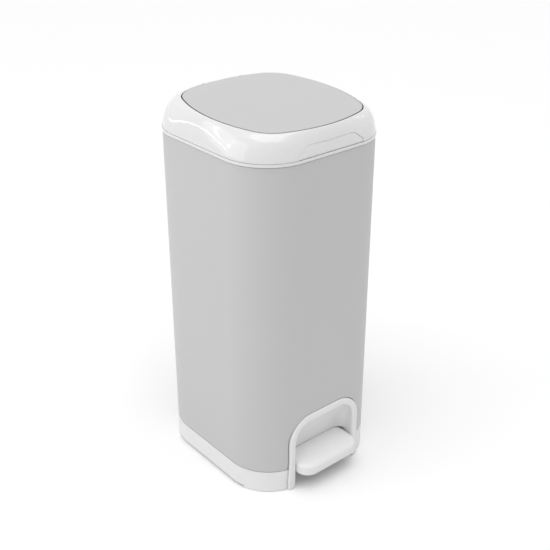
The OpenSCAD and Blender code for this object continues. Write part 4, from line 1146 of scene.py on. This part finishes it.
class NAPPYBIN_OT_base(Operator):
    """Replaces the base by one with its shadow groove and raised side edges."""
    bl_idname = "nappybin.base"
    bl_label = "Base"
    bl_options = {"REGISTER", "UNDO"}

    def execute(self, context):
        make_base()
        return {"FINISHED"}


class NAPPYBIN_OT_surround(Operator):
    """Replaces the arch and the recess panel behind the pedal."""
    bl_idname = "nappybin.surround"
    bl_label = "Pedal Surround"
    bl_options = {"REGISTER", "UNDO"}

    def execute(self, context):
        make_surround()
        return {"FINISHED"}


class NAPPYBIN_OT_pedal(Operator):
    """Replaces the pedal pad by a softly rounded one."""
    bl_idname = "nappybin.pedal"
    bl_label = "Pedal"
    bl_options = {"REGISTER", "UNDO"}

    def execute(self, context):
        make_pedal()
        return {"FINISHED"}


class NAPPYBIN_OT_head(Operator):
    """Replaces the head shell by a fine glossy rim."""
    bl_idname = "nappybin.head"
    bl_label = "Head"
    bl_options = {"REGISTER", "UNDO"}

    def execute(self, context):
        make_head()
        return {"FINISHED"}


class NAPPYBIN_OT_plaque(Operator):
    """Replaces the release button by a bare plaque."""
    bl_idname = "nappybin.plaque"
    bl_label = "Front Plaque"
    bl_options = {"REGISTER", "UNDO"}

    def execute(self, context):
        make_plaque()
        return {"FINISHED"}


class NAPPYBIN_OT_lid(Operator):
    """Replaces the lid panel by one with a crown and a rounded edge."""
    bl_idname = "nappybin.lid"
    bl_label = "Lid"
    bl_options = {"REGISTER", "UNDO"}

    def execute(self, context):
        make_lid()
        return {"FINISHED"}


class NAPPYBIN_OT_film(Operator):
    """Replaces the plain film pack by gathered folds."""
    bl_idname = "nappybin.film"
    bl_label = "Film Pack"
    bl_options = {"REGISTER", "UNDO"}

    def execute(self, context):
        make_film()
        return {"FINISHED"}


class NAPPYBIN_OT_spring(Operator):
    """Replaces the pedal's return spring by a finer coil."""
    bl_idname = "nappybin.spring"
    bl_label = "Return Spring"
    bl_options = {"REGISTER", "UNDO"}

    def execute(self, context):
        make_return_spring()
        return {"FINISHED"}


class NAPPYBIN_OT_filter(Operator):
    """Replaces the plain carbon filter by a soft felt pad."""
    bl_idname = "nappybin.filter"
    bl_label = "Carbon Filter"
    bl_options = {"REGISTER", "UNDO"}

    def execute(self, context):
        make_filter()
        return {"FINISHED"}


class NAPPYBIN_OT_inner(Operator):
    """Finishes every CAD node that still shows."""
    bl_idname = "nappybin.inner"
    bl_label = "Other Pieces"
    bl_options = {"REGISTER", "UNDO"}

    def execute(self, context):
        finish_inner()
        return {"FINISHED"}


OPERATORS = (NAPPYBIN_OT_stage, NAPPYBIN_OT_body, NAPPYBIN_OT_base, NAPPYBIN_OT_surround,
             NAPPYBIN_OT_pedal, NAPPYBIN_OT_head, NAPPYBIN_OT_plaque, NAPPYBIN_OT_lid,
             NAPPYBIN_OT_film, NAPPYBIN_OT_filter, NAPPYBIN_OT_spring, NAPPYBIN_OT_inner)


class NAPPYBIN_PT_panel(Panel):
    """Lists the makers and their sizes."""
    bl_label = "Nappy Bin"
    bl_space_type = "VIEW_3D"
    bl_region_type = "UI"
    bl_category = "Nappy Bin"

    def draw(self, context):
        for maker in OPERATORS:
            self.layout.operator(maker.bl_idname)
        for name, group in GROUPS.items():
            box = self.layout.box()
            box.label(text=group.__doc__)
            for key in group.__annotations__:
                box.prop(getattr(context.scene, name), key)


def register():
    for group in GROUPS.values():
        bpy.utils.register_class(group)
    for name, group in GROUPS.items():
        setattr(bpy.types.Scene, name, PointerProperty(type=group))
    for maker in OPERATORS:
        bpy.utils.register_class(maker)
    bpy.utils.register_class(NAPPYBIN_PT_panel)


def unregister():
    bpy.utils.unregister_class(NAPPYBIN_PT_panel)
    for maker in reversed(OPERATORS):
        bpy.utils.unregister_class(maker)
    for name in GROUPS:
        delattr(bpy.types.Scene, name)
    for group in reversed(list(GROUPS.values())):
        bpy.utils.unregister_class(group)


def main():
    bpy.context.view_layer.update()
    register()
    for maker in OPERATORS:
        area, name = maker.bl_idname.split(".")
        getattr(getattr(bpy.ops, area), name)()


if __name__ == "__main__":
    main()
